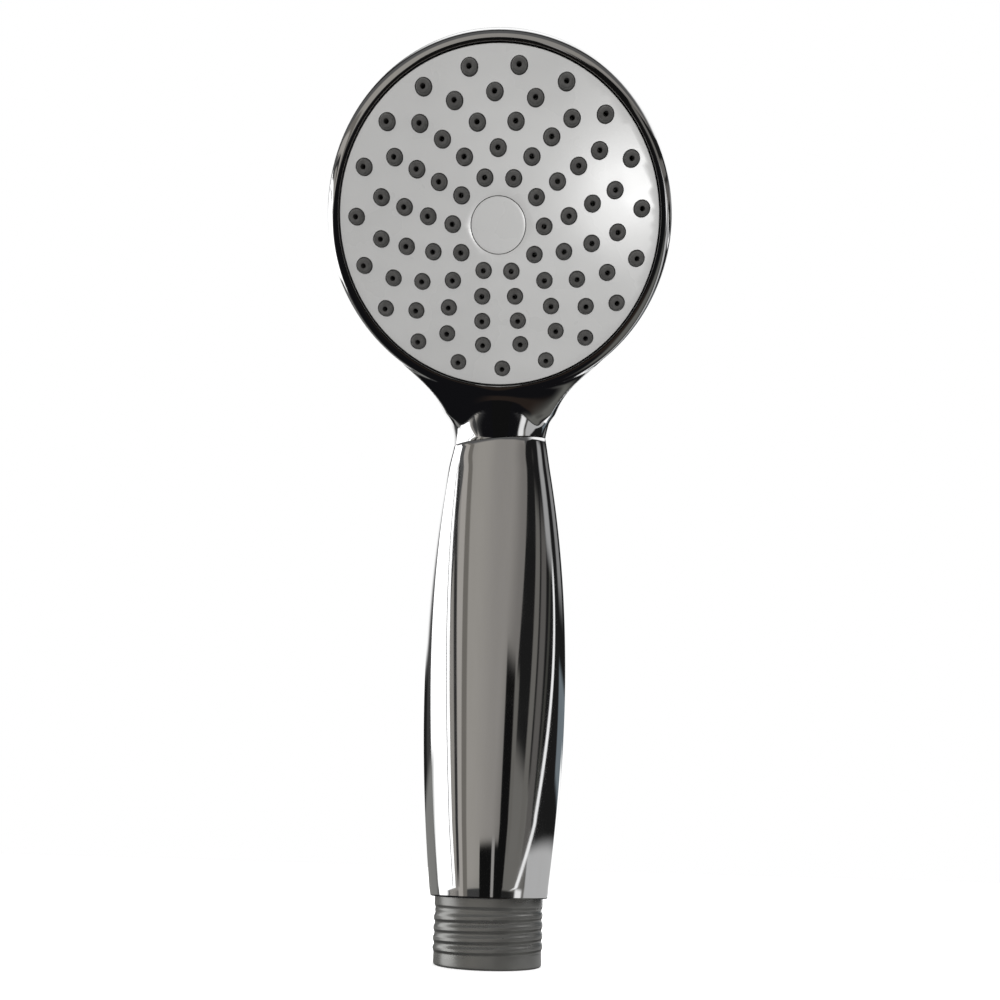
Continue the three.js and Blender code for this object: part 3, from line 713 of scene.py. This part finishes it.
plateValues = {
    "radius": 30.1, "crown": 0.6, "thick": 2.6, "hub": 6.6, "hubBack": -6.2, "capRecess": 5.2, "recessFloor": -3.6,
    "screwHole": 2.2, "holeRadius": 1.56, "holeEdge": 0.05, "holeColumns": 28, "spacing": 1.3,
}
nozzleValues = {"base": 1.48, "tip": 1.2, "proud": 1.3, "bore": 0.46, "edge": 0.3, "columns": 28, "spacing": 2.2}
matValues = {"outer": 28.5, "inner": 6.9, "front": -2.9, "back": -4.3}
nozzleRings = [(26.84, 19, 101.1), (22.42, 19, 110.6), (17.89, 16, 102.3), (13.28, 13, 90.2), (8.6, 10, 106.8)]


def crownHeight(radius):
    # A shallow paraboloid that falls to nothing at the plate's edge.
    return plateValues["crown"] * (1 - (radius / plateValues["radius"]) ** 2)


def ringPlaces(rings):
    # count places round each radius, the first at the given angle, going clockwise.
    places = []
    for radius, count, first in rings:
        angle = math.radians(first) - np.arange(count) * fullTurn / count
        places.append(np.stack([radius * np.cos(angle), radius * np.sin(angle)], axis=-1))
    return np.concatenate(places)


def circlePoints(centres, radius, columns):
    # One circle of points for each centre.
    angle = np.arange(columns) * fullTurn / columns
    around = np.stack([np.cos(angle), np.sin(angle)], axis=-1) * radius
    return np.asarray(centres)[:, None, :] + around[None]


def loopEdges(loops, columns, first):
    # Edges that close each loop of points on itself.
    start = first + np.arange(loops)[:, None] * columns
    j = np.arange(columns)[None, :]
    return np.stack([start + j, start + (j + 1) % columns], axis=-1).reshape(-1, 2)


def holedSheet(inner, outer, places, holeRadius, columns, spacing):
    # A flat ring with round holes, filled with near-regular triangles between the circles.
    ringColumns = 144
    rim = circlePoints([[0, 0]], outer, ringColumns)
    eye = circlePoints([[0, 0]], inner, ringColumns)
    holes = circlePoints(places, holeRadius, columns)
    span = np.arange(-outer, outer, spacing)
    x, y = np.meshgrid(span, span * math.sqrt(3) / 2)
    x = x + (np.arange(len(span)) % 2)[:, None] * spacing / 2
    field = np.stack([x.ravel(), y.ravel()], axis=-1)
    reach = np.hypot(*field.T)
    apart = np.hypot(*np.moveaxis(field[:, None] - places[None], -1, 0)).min(1)
    clear = (reach > inner + 0.5 * spacing) & (reach < outer - 0.5 * spacing)
    clear &= apart > holeRadius + 0.35 * spacing
    points = np.concatenate([rim.reshape(-1, 2), eye.reshape(-1, 2), holes.reshape(-1, 2), field[clear]])
    edges = np.concatenate([loopEdges(2, ringColumns, 0), loopEdges(len(places), columns, 2 * ringColumns)])
    found = delaunay_2d_cdt(points.tolist(), edges.tolist(), [], 0, 1e-5)
    flat = np.array([list(point) for point in found[0]])
    triangles = np.array(found[2])
    middle = flat[triangles].mean(1)
    reach = np.hypot(*middle.T)
    apart = np.hypot(*np.moveaxis(middle[:, None] - places[None], -1, 0)).min(1)
    ringEdge, holeEdge = math.cos(math.pi / ringColumns), math.cos(math.pi / columns)
    kept = (reach < outer) & (reach > inner * ringEdge) & (apart > holeRadius * holeEdge)
    triangles = triangles[kept]
    a, b, c = np.moveaxis(flat[triangles], 1, 0)
    turn = (b[:, 0] - a[:, 0]) * (c[:, 1] - a[:, 1]) - (b[:, 1] - a[:, 1]) * (c[:, 0] - a[:, 0])
    triangles[turn < 0] = triangles[turn < 0][:, ::-1]
    return flat, triangles


def drilledDisc(name, front, back, innerWall, outerWall, places, holeRows, columns, spacing):
    # Front and back sheets joined by an inner wall, an outer wall and one strip of rows through each hole.
    # front and back are height functions; walls are [radius, height] rows, and holeRows [radius, height, share of
    # the crown].
    ringColumns = 144
    innerWall, outerWall, holeRows = np.array(innerWall), np.array(outerWall), np.array(holeRows)
    points, faces, count = [], [], 0

    def add(newPoints, newFaces):
        nonlocal count
        points.append(newPoints)
        faces.extend((np.asarray(newFaces) + count).tolist())
        count += len(newPoints)

    sheets = (
        (front, innerWall[0, 0], outerWall[-1, 0], holeRows[0, 0], False),
        (back, innerWall[-1, 0], outerWall[0, 0], holeRows[-1, 0], True),
    )
    for heightAt, inner, outer, radius, flipped in sheets:
        flat, triangles = holedSheet(inner, outer, places, radius, columns, spacing)
        lifted = np.concatenate([flat, heightAt(np.hypot(*flat.T))[:, None]], axis=1)
        add(lifted, triangles[:, ::-1] if flipped else triangles)
    for wall, ends in ((innerWall, (front, back)), (outerWall, (back, front))):
        rows = wall.astype(float)
        rows[0, 1], rows[-1, 1] = ends[0](rows[0, 0]), ends[1](rows[-1, 0])
        grid = turnedGrid(rows, ringColumns)
        add(grid.reshape(-1, 3), gridFaces(len(rows), ringColumns, False))
    angle = np.arange(columns) * fullTurn / columns
    x = places[:, None, None, 0] + holeRows[None, :, :1] * np.cos(angle)
    y = places[:, None, None, 1] + holeRows[None, :, :1] * np.sin(angle)
    w = holeRows[None, :, 1:2] + holeRows[None, :, 2:3] * crownHeight(np.hypot(x, y))
    w[:, 0] = front(np.hypot(x[:, 0], y[:, 0]))
    w[:, -1] = back(np.hypot(x[:, -1], y[:, -1]))
    for strip in np.stack([x, y, w], axis=-1):
        add(strip.reshape(-1, 3), gridFaces(len(holeRows), columns, False))
    return weldedMesh(name, fromFaceAxes(np.concatenate(points)), faces, sharpFrom=24)


def facePlateMesh(values):
    # A crowned plate with a hub behind, a well for the cap and a round hole for each nozzle.
    thick, hole, edge = values["thick"], values["holeRadius"], values["holeEdge"]
    wellTop = float(crownHeight(values["capRecess"]))
    innerWall = [
        [values["capRecess"] + 0.12, 0],
        [values["capRecess"] + 0.03, wellTop - 0.04],
        [values["capRecess"], wellTop - 0.14],
        [values["capRecess"], values["recessFloor"]],
        [values["screwHole"] + 0.2, values["recessFloor"]],
        [values["screwHole"], values["recessFloor"] - 0.2],
        [values["screwHole"], values["hubBack"] + 0.2],
        [values["screwHole"] + 0.2, values["hubBack"]],
        [values["hub"] - 0.3, values["hubBack"]],
        [values["hub"], values["hubBack"] + 0.3],
        [values["hub"], 0],
    ]
    rim = values["radius"]
    outerWall = [
        [rim - 0.2, 0], [rim, -thick + 0.2], [rim, -0.35], [rim - 0.03, -0.16], [rim - 0.12, -0.04], [rim - 0.3, 0],
    ]
    holeRows = [
        [hole + edge, 0, 0], [hole + 0.02, -0.05, 1], [hole, -0.14, 1], [hole, -thick + 0.1, 0], [hole + 0.1, 0, 0],
    ]
    return drilledDisc(
        "plate", crownHeight, lambda r: 0 * r - thick, innerWall, outerWall, nozzlePlaces, holeRows,
        values["holeColumns"], values["spacing"],
    )


def nozzleMatMesh(mat, nozzle):
    # A flat mat with a tapered, round-edged nozzle at each place, bored through.
    front, back, proud, edge = mat["front"], mat["back"], nozzle["proud"], nozzle["edge"]
    turn = np.linspace(0, math.pi / 2, 5)
    shoulder = [[nozzle["tip"] - edge + edge * math.cos(a), proud - edge + edge * math.sin(a), 1] for a in turn]
    holeRows = [
        [nozzle["base"] + 0.3, 0, 0],
        [nozzle["base"] + 0.08, front + 0.08, 0],
        [nozzle["base"], front + 0.3, 0],
        [nozzle["base"], -0.2, 1],
        *shoulder,
        [nozzle["bore"] + 0.16, proud - 0.02, 1],
        [nozzle["bore"] + 0.03, proud - 0.1, 1],
        [nozzle["bore"], proud - 0.25, 1],
        [nozzle["bore"], back + 0.9, 0],
        [nozzle["bore"] + 0.45, 0, 0],
    ]
    inner, outer = mat["inner"], mat["outer"]
    innerWall = [[inner + 0.1, 0], [inner, front - 0.1], [inner, back + 0.1], [inner + 0.1, 0]]
    outerWall = [[outer - 0.1, 0], [outer, back + 0.1], [outer, front - 0.1], [outer - 0.1, 0]]
    return drilledDisc(
        "mat", lambda r: 0 * r + front, lambda r: 0 * r + back, innerWall, outerWall, nozzlePlaces, holeRows,
        nozzle["columns"], nozzle["spacing"],
    )


nozzlePlaces = ringPlaces(nozzleRings)
addPiece("grey_face_plate", facePlateMesh(plateValues), "face", "face_grey", "face_plate")
addPiece("soft_nozzle_mat", nozzleMatMesh(matValues, nozzleValues), "face", "silicone", "nozzle_mat")
print("face made:", len(nozzlePlaces), "nozzles")

capValues = {"radius": 5.1, "skirt": 0.8, "skirtBack": -2.6, "topBack": -0.5, "edge": 0.1}


def capMesh(values):
    # A thin crowned disc with a short skirt, flush with the plate.
    radius = values["radius"]
    across = np.linspace(radius, 0, 8)
    crowned = np.stack([across, crownHeight(across)], axis=-1).tolist()
    outline = [
        [0, values["topBack"]],
        [radius - values["skirt"], values["topBack"]],
        [radius - values["skirt"], values["skirtBack"]],
        [radius, values["skirtBack"]],
        *crowned,
    ]
    return turnedMesh("cap", outline, fromFaceAxes, edge=values["edge"])


addPiece("plain_screw_cap", capMesh(capValues), "cap", "face_grey", "screw_cap")
print("cap made")

# ---- inner pieces

def tubeOutline(inner, outer, low, high):
    return [[inner, low], [outer, low], [outer, high], [inner, high]]


def sealOutline(radius, height, thickness):
    # A round section of twelve sides.
    angle = np.arange(12) * fullTurn / 12
    return np.stack([radius + thickness * np.cos(angle), height + thickness * np.sin(angle)], axis=-1)


coreValues = {
    "stubFrom": 95.9, "stub": 6.1, "stubBore": 4.85, "stubBoreEnd": 100.2, "pipe": 4.6, "pipeBore": 3.0,
    "pipePastNeck": 7.5,
}
coreOutline = [
    [0, -14.4], [18.5, -14.4], [27.4, -9.2], [28.8, -6.6], [29.9, -5.0], [29.9, -3.0], [28.9, -3.0], [28.9, -6.4],
    [24.6, -6.4], [24.6, -7.6], [18.0, -12.8], [5.6, -12.8], [5.6, -6.8], [3.5, -6.8], [3.5, -13.3], [0, -13.3],
]


def coreMesh(values):
    # The dish is joined to its bent pipe, then the pipe's bore is cut through both.
    pipeEnd = neckEnd + values["pipePastNeck"]
    pipe = [[0, values["stubFrom"]], [values["stub"], values["stubFrom"]], [values["stub"], seam - 1]]
    pipe += [[values["pipe"], seam], [values["pipe"], pipeEnd], [0, pipeEnd]]
    boreEnd = pipeEnd - 1.4
    bore = [[0, values["stubFrom"] - 1], [values["stubBore"], values["stubFrom"] - 1]]
    bore += [[values["stubBore"], values["stubBoreEnd"]], [values["pipeBore"], values["stubBoreEnd"]]]
    bore += [[values["pipeBore"], boreEnd], [0, boreEnd]]
    dish = turnedMesh("dish", coreOutline, fromFaceAxes, edge=0.3)
    whole = combined(dish, turnedMesh("pipe", pipe, alongCentreLine, columns=48, step=2), "UNION")
    whole = combined(whole, turnedMesh("bore", bore, alongCentreLine, columns=48, step=2), "DIFFERENCE")
    stack = turnedMesh("stack", [[0, -6.4], [28.9, -6.4], [28.9, 1], [0, 1]], fromFaceAxes, edge=0.01)
    boss = turnedMesh("boss", [[3.5, -13], [5.6, -13], [5.6, -6.8], [3.5, -6.8]], fromFaceAxes, edge=0.01)
    return combined(combined(whole, stack, "DIFFERENCE"), boss, "UNION")


distributorValues = {"rim": 27.0, "inner": 6.9, "back": -6.1, "front": -4.6, "tray": 0.5, "port": 1.2}
portRings = [(11.5, 5, 0), (18, 7, 0), (23, 9, 0)]


def distributorMesh(values):
    # A shallow tray with rings of round ports.
    inner, rim, front = values["inner"], values["rim"], values["front"]
    blank = turnedMesh("tray", [
        [inner, values["back"]], [rim, values["back"]], [rim, front], [rim - 0.8, front],
        [rim - 0.8, front - values["tray"]],
        [inner + 0.8, front - values["tray"]], [inner + 0.8, front], [inner, front],
    ], fromFaceAxes)
    ports = []
    for x, y in ringPlaces(portRings):
        port, under = values["port"], values["back"] - 1
        outline = [[0, under], [port, under], [port, front + 1], [0, front + 1]]
        place = lambda grid, x=x, y=y: fromFaceAxes(grid + np.array([x, y, 0]))
        ports.append(turnedMesh("port", outline, place, edge=0.01, columns=28))
    return combined(blank, joinedMesh("ports", ports), "DIFFERENCE")


strainerValues = {"radius": 6.7, "from": 6.0, "floor": 0.7, "rise": 1.8, "pitch": 2.3, "hole": 0.8}


def strainerMesh(values):
    # A cup with a floor of square holes.
    radius, low = values["radius"], values["from"]
    cup = turnedMesh("cup", [
        [0, low], [radius, low], [radius, low + values["rise"]], [radius - 1, low + values["rise"]],
        [radius - 1, low + values["floor"]], [0, low + values["floor"]],
    ], standing)
    holes, half = [], values["hole"]
    for i in (-1.5, -0.5, 0.5, 1.5):
        for j in (-1.5, -0.5, 0.5, 1.5):
            x, y = i * values["pitch"], j * values["pitch"]
            if math.hypot(i, j) < 2:
                lower, upper = (x - half, y - half, low - 1), (x + half, y + half, low + 1)
                holes.append(boxMesh("hole", lower, upper, standing))
    return combined(cup, joinedMesh("holes", holes), "DIFFERENCE")


def screwMesh():
    # A pan-head screw with a cross recess.
    body = turnedMesh("screw", [
        [0, -12.4], [1.6, -12.4], [1.9, -11.8], [1.9, -2.8], [3.4, -2.8], [3.4, -1.6], [2.7, -0.9], [0, -0.9],
    ], fromFaceAxes, edge=0.3)
    for spin in (0, math.pi / 2):
        slot = boxMesh("slot", (-1.8, -0.4, -1.8), (1.8, 0.4, 0.4), fromFaceAxes, spin)
        body = combined(body, slot, "DIFFERENCE")
    return body


def snapRingMesh():
    # A ring split on its upper side.
    ring = turnedMesh("ring", tubeOutline(7.1, 7.45, seam + 1.9, seam + 3.2), alongCentreLine, edge=0.08)
    gap = boxMesh("gap", (-1.5, 5.1, seam - 0.5), (1.5, 9.1, seam + 4.5), alongCentreLine)
    return combined(ring, gap, "DIFFERENCE")


couplerOutline = [
    [6.4, seam - 11], [6.9, seam - 11], [7.3, seam - 10.4], [7.3, seam + 1.6], [6.8, seam + 1.6], [6.8, seam + 3.5],
    [7.3, seam + 3.5], [7.0, seam + 5], [6.4, seam + 5],
]
tubeShape = [
    [3.1, 17.6], [4.5, 17.6], [4.5, 92.4], [6.1, 92.4], [6.1, 93.8], [4.5, 93.8], [4.5, 99.4], [3.1, 99.4],
]
limiterOutline = [[1.3, 9.7], [3.6, 8.1], [6.7, 8.1], [6.7, 13.5], [2.6, 13.5]]

addPiece("water_chamber", coreMesh(coreValues), "handset", "inner_plastic", "head_core")
addPiece("flow_distributor", distributorMesh(distributorValues), "face", "inner_plastic", "distributor_plate")
addPiece("strainer_cup", strainerMesh(strainerValues), "handset", "dark_plastic", "inlet_strainer")
addPiece("cross_screw", screwMesh(), "screw", "steel", "centre_screw")
addPiece("split_snap_ring", snapRingMesh(), "handset", "steel", "neck_snap_ring")

turnedPieces = [
    ("limiter_plug", limiterOutline, standing, None, "handset", "inner_plastic", "flow_limiter"),
    ("inlet_seal", sealOutline(9.7, 19.1, 0.68), standing, None, "handset", "rubber", "spigot_seal"),
    ("long_water_tube", tubeShape, alongCentreLine, 2, "handset", "inner_plastic", "water_tube"),
    ("lower_tube_seal", sealOutline(5.5, 23.6, 0.62), alongCentreLine, None, "handset", "rubber", "tube_seal_lower"),
    ("upper_tube_seal", sealOutline(5.5, 94.85, 0.62), alongCentreLine, None, "handset", "rubber", "tube_seal_upper"),
    ("neck_joiner", couplerOutline, alongCentreLine, 2, "handset", "dark_plastic", "neck_coupler"),
    ("face_seal", sealOutline(27.95, -5.6, 0.58), fromFaceAxes, None, "handset", "rubber", "chamber_seal"),
    ("brass_insert", tubeOutline(2.2, 3.2, -12.6, -7.0), fromFaceAxes, None, "handset", "brass", "screw_insert"),
    ("screw_washer", tubeOutline(2.3, 3.9, -3.4, -3.05), fromFaceAxes, None, "face", "rubber", "screw_seal"),
]
for name, outline, place, step, body, slotName, node in turnedPieces:
    addPiece(name, turnedMesh(name, outline, place, step=step), body, slotName, node)
print("inner pieces made")

# ---- floor and light

stageValues = {
    "floor": 3.0, "floorColor": (0.86, 0.86, 0.86), "floorGlow": 0.45, "sun": 2.6, "sunWidth": math.radians(110),
}
lampValues = {
    "face light": dict(at=(-0.03, -0.5, -0.27), width=0.6, power=1.7, mirrored=False),
    "spark": dict(at=(0.053, -0.187, 0.022), width=0.03, power=0.13, mirrored=True),
}


def makeFloor(values):
    # A wide flat sheet at the inlet's end face, pale and matt, faintly lit from within like a light table.
    size = values["floor"]
    mesh = bpy.data.meshes.new("floor")
    corners = [(-size, -size, 0), (size, -size, 0), (size, size, 0), (-size, size, 0)]
    mesh.from_pydata(corners, [], [(0, 1, 2, 3)])
    material, tree, shader = newMaterial("paleFloor", values["floorColor"], 1.0)
    shader.inputs["Specular IOR Level"].default_value = 0.0
    shader.inputs["Emission Color"].default_value = (1, 1, 1, 1)
    shader.inputs["Emission Strength"].default_value = values["floorGlow"]
    mesh.materials.append(material)
    floor = bpy.data.objects.new("floor", mesh)
    bpy.context.scene.collection.objects.link(floor)
    floor.visible_glossy = False
    floor.visible_diffuse = False
    floor.visible_shadow = False


def makeSun(values):
    # A very wide soft light from straight above.
    light = bpy.data.lights.new("overhead", "SUN")
    light.energy = values["sun"]
    light.angle = values["sunWidth"]
    lamp = bpy.data.objects.new("overhead", light)
    lamp.visible_glossy = False
    bpy.context.scene.collection.objects.link(lamp)


def makeLamps(lamps):
    # Soft round lamps aimed at the middle of the face; a lamp that may be mirrored lights only the face's plastic.
    target = Vector(joints["screw_turn"]["pos_m"])
    faceOnly = bpy.data.collections.new("faceOnly")
    for piece in bpy.data.objects:
        if piece.type == "MESH" and piece.data.materials and piece.data.materials[0] == finishes["face_grey"]:
            faceOnly.objects.link(piece)
    for name, values in lamps.items():
        light = bpy.data.lights.new(name, "AREA")
        light.shape = "DISK"
        light.size = values["width"]
        light.energy = values["power"]
        lamp = bpy.data.objects.new(name, light)
        lamp.location = values["at"]
        lamp.rotation_euler = (target - lamp.location).to_track_quat("-Z", "Y").to_euler()
        lamp.visible_glossy = values["mirrored"]
        lamp.visible_camera = False
        if values["mirrored"]:
            lamp.light_linking.receiver_collection = faceOnly
        bpy.context.scene.collection.objects.link(lamp)


# The studio that the chrome mirrors, as soft-edged cards on a sphere: "at" is degrees to the right of the front
# and degrees up, "half" is half the width and height, "lean" and "bow" shift a card sideways with height and with
# its square, "rise" tips it, "soft" is the share of each half that fades out, and a single tone is a grey. Later
# cards cover earlier ones.
roomTone = 0.05
studioCards = {
    "upper wall": dict(at=(0, 38), half=(181, 22), soft=(0.02, 0.5), tone=0.10),
    "ceiling gap": dict(at=(0, 56), half=(120, 6), soft=(0.2, 0.6), tone=0.02),
    "ceiling": dict(at=(0, 90), half=(181, 22), soft=(0.02, 0.4), tone=1.2),
    "back window": dict(at=(125, 50), half=(45, 26), soft=(0.35, 0.35), tone=1.1),
    "front wall": dict(at=(-10, 0), half=(70, 17.5), soft=(0.01, 0.04), tone=(0.275, 0.262, 0.245)),
    "wall top": dict(at=(-15, 18), half=(55, 5), soft=(0.2, 0.9), tone=(0.275, 0.262, 0.245)),
    "wall left": dict(at=(-38, 2), half=(24, 18), soft=(0.8, 0.08), tone=(0.33, 0.315, 0.29)),
    "wall right": dict(at=(40, 0), half=(15, 16), soft=(0.7, 0.1), lean=-1.45, tone=(0.19, 0.18, 0.17)),
    "dark below": dict(at=(0, -58), half=(181, 36), soft=(0.01, 0.06), tone=(0.006, 0.006, 0.007)),
    "dark foot": dict(at=(4, -30), half=(21, 18.5), soft=(0.03, 0.04), tone=0.006),
    "foot gap": dict(at=(7, -16.5), half=(2.5, 5.5), soft=(0.3, 0.1), tone=(0.30, 0.29, 0.28)),
    "right flag": dict(at=(122, 5), half=(75, 26), soft=(0.01, 0.05), lean=-1.45, tone=0.012),
    "right low wall": dict(at=(50, -12), half=(25, 6.5), soft=(0.06, 0.15), tone=(0.155, 0.15, 0.14)),
    "low wall tip": dict(at=(33, -7), half=(5, 5.5), soft=(0.2, 0.15), lean=-0.7, tone=(0.14, 0.135, 0.125)),
    "wedge": dict(at=(22.5, -12), half=(7, 10.5), soft=(0.15, 0.1), lean=-0.5, tone=0.006),
    "wall shade": dict(at=(-52, 5), half=(4.5, 25), soft=(0.3, 0.05), lean=0.75, bow=0.02, tone=(0.165, 0.155, 0.14)),
    "wall light": dict(at=(-61, 5), half=(5, 25), soft=(0.2, 0.05), lean=0.75, bow=0.02, tone=(0.39, 0.37, 0.345)),
    "left window": dict(at=(-104, 9), half=(22, 24), soft=(0.03, 0.02), lean=0.96, bow=0.01, tone=1.6),
    "left flag": dict(at=(-68.5, 5), half=(2.6, 19), soft=(0.4, 0.1), lean=1.1, bow=0.03, tone=0.03),
    "window bar": dict(at=(-84, 5), half=(0.9, 19), soft=(0.4, 0.05), lean=0.88, bow=0.01, tone=0.25),
    "stripe near": dict(at=(68, 3), half=(4, 14), soft=(0.3, 0.2), lean=-1.0, tone=(0.145, 0.14, 0.13)),
    "stripe middle": dict(at=(80, 3), half=(5, 15), soft=(0.35, 0.2), lean=-1.0, tone=(0.11, 0.105, 0.10)),
    "stripe far": dict(at=(91, 3), half=(2, 16), soft=(0.5, 0.2), lean=-1.2, tone=(0.05, 0.05, 0.045)),
    "right low card": dict(at=(115, -12), half=(42, 6.5), soft=(0.05, 0.15), rise=-0.1, tone=0.47),
    "right lamp": dict(at=(98, 0), half=(2.5, 17), soft=(0.4, 0.1), lean=-2.0, bow=0.06, tone=1.0),
    "right patch": dict(at=(107, 21), half=(8, 5), soft=(0.4, 0.4), tone=0.35),
    "back patch": dict(at=(141, 22), half=(9, 6), soft=(0.4, 0.4), tone=0.25),
    "blue wall": dict(at=(155, 5.5), half=(26, 4.5), soft=(0.1, 0.2), tone=(0.16, 0.19, 0.21)),
    "back right lamp": dict(at=(167, 0), half=(13, 5), soft=(0.2, 0.3), tone=1.2),
    "back left lamp": dict(at=(-166, 19), half=(20, 7), soft=(0.5, 0.2), tone=1.0),
    "back left flag": dict(at=(-163, 5.5), half=(24, 4.5), soft=(0.2, 0.2), tone=0.012),
    "back left wall": dict(at=(-143, -5), half=(30, 6.5), soft=(0.3, 0.2), tone=(0.22, 0.22, 0.21)),
    "low right lamp": dict(at=(60, -20), half=(7, 4), soft=(0.4, 0.4), tone=0.9),
    "brown table": dict(at=(20, -56), half=(50, 8), soft=(0.4, 0.4), tone=(0.022, 0.016, 0.013)),
    "right floor": dict(at=(95, -42), half=(35, 16), soft=(0.4, 0.4), tone=(0.13, 0.13, 0.12)),
}


def paint(tone):
    # A single tone as a grey; full opacity.
    return (*tone, 1) if isinstance(tone, tuple) else (tone, tone, tone, 1)


def mathNode(tree, operation, *values):
    # One step of arithmetic; each value is a socket or a number.
    node = tree.nodes.new("ShaderNodeMath")
    node.operation = operation
    for socket, value in zip(node.inputs, values):
        if isinstance(value, (int, float)):
            socket.default_value = value
        else:
            tree.links.new(value, socket)
    return node.outputs["Value"]


def fadeNode(tree, distance, half, soft):
    # 1 inside the half size, easing to 0 over the soft share on both sides of it.
    fade = tree.nodes.new("ShaderNodeMapRange")
    fade.interpolation_type = "SMOOTHSTEP"
    fade.inputs["From Min"].default_value = half * (1 - soft)
    fade.inputs["From Max"].default_value = half * (1 + soft)
    fade.inputs["To Min"].default_value = 1
    fade.inputs["To Max"].default_value = 0
    tree.links.new(distance, fade.inputs["Value"])
    return fade.outputs["Result"]


def cardMask(tree, around, up, card):
    # The card's two distances are d + lean e + bow e^2 across and e + rise d up, for d and e from its centre.
    across = mathNode(tree, "WRAP", mathNode(tree, "SUBTRACT", around, card["at"][0]), 180, -180)
    above = mathNode(tree, "SUBTRACT", up, card["at"][1])
    leant = mathNode(tree, "MULTIPLY_ADD", above, card.get("lean", 0), across)
    bowed = mathNode(tree, "MULTIPLY_ADD", mathNode(tree, "MULTIPLY", above, above), card.get("bow", 0), leant)
    risen = mathNode(tree, "MULTIPLY_ADD", across, card.get("rise", 0), above)
    wide = fadeNode(tree, mathNode(tree, "ABSOLUTE", bowed), card["half"][0], card["soft"][0])
    tall = fadeNode(tree, mathNode(tree, "ABSOLUTE", risen), card["half"][1], card["soft"][1])
    return mathNode(tree, "MULTIPLY", wide, tall)


def makeWorld(cards):
    # What the object mirrors is the room of cards; what lies behind it in the view is plain white.
    world = bpy.data.worlds.new("studio")
    world.use_nodes = True
    bpy.context.scene.world = world
    tree = world.node_tree
    room = tree.nodes["Background"]
    direction = tree.nodes.new("ShaderNodeTexCoord")
    axes = tree.nodes.new("ShaderNodeSeparateXYZ")
    tree.links.new(direction.outputs["Generated"], axes.inputs["Vector"])
    front = mathNode(tree, "MULTIPLY", axes.outputs["Y"], -1)
    around = mathNode(tree, "MULTIPLY", mathNode(tree, "ARCTAN2", axes.outputs["X"], front), math.degrees(1))
    up = mathNode(tree, "MULTIPLY", mathNode(tree, "ARCSINE", axes.outputs["Z"]), math.degrees(1))
    covered = None
    for card in cards.values():
        mix = tree.nodes.new("ShaderNodeMix")
        mix.data_type = "RGBA"
        tree.links.new(cardMask(tree, around, up, card), mix.inputs["Factor"])
        if covered:
            tree.links.new(covered, mix.inputs[6])
        else:
            mix.inputs[6].default_value = paint(roomTone)
        mix.inputs[7].default_value = paint(card["tone"])
        covered = mix.outputs[2]
    tree.links.new(covered, room.inputs["Color"])
    backdrop = tree.nodes.new("ShaderNodeBackground")
    backdrop.inputs["Color"].default_value = (1, 1, 1, 1)
    seen = tree.nodes.new("ShaderNodeLightPath")
    choice = tree.nodes.new("ShaderNodeMixShader")
    tree.links.new(seen.outputs["Is Camera Ray"], choice.inputs["Fac"])
    tree.links.new(room.outputs["Background"], choice.inputs[1])
    tree.links.new(backdrop.outputs["Background"], choice.inputs[2])
    tree.links.new(choice.outputs["Shader"], tree.nodes["World Output"].inputs["Surface"])


makeFloor(stageValues)
makeSun(stageValues)
makeLamps(lampValues)
makeWorld(studioCards)
bpy.context.scene.view_settings.view_transform = "Standard"
print("stage made")
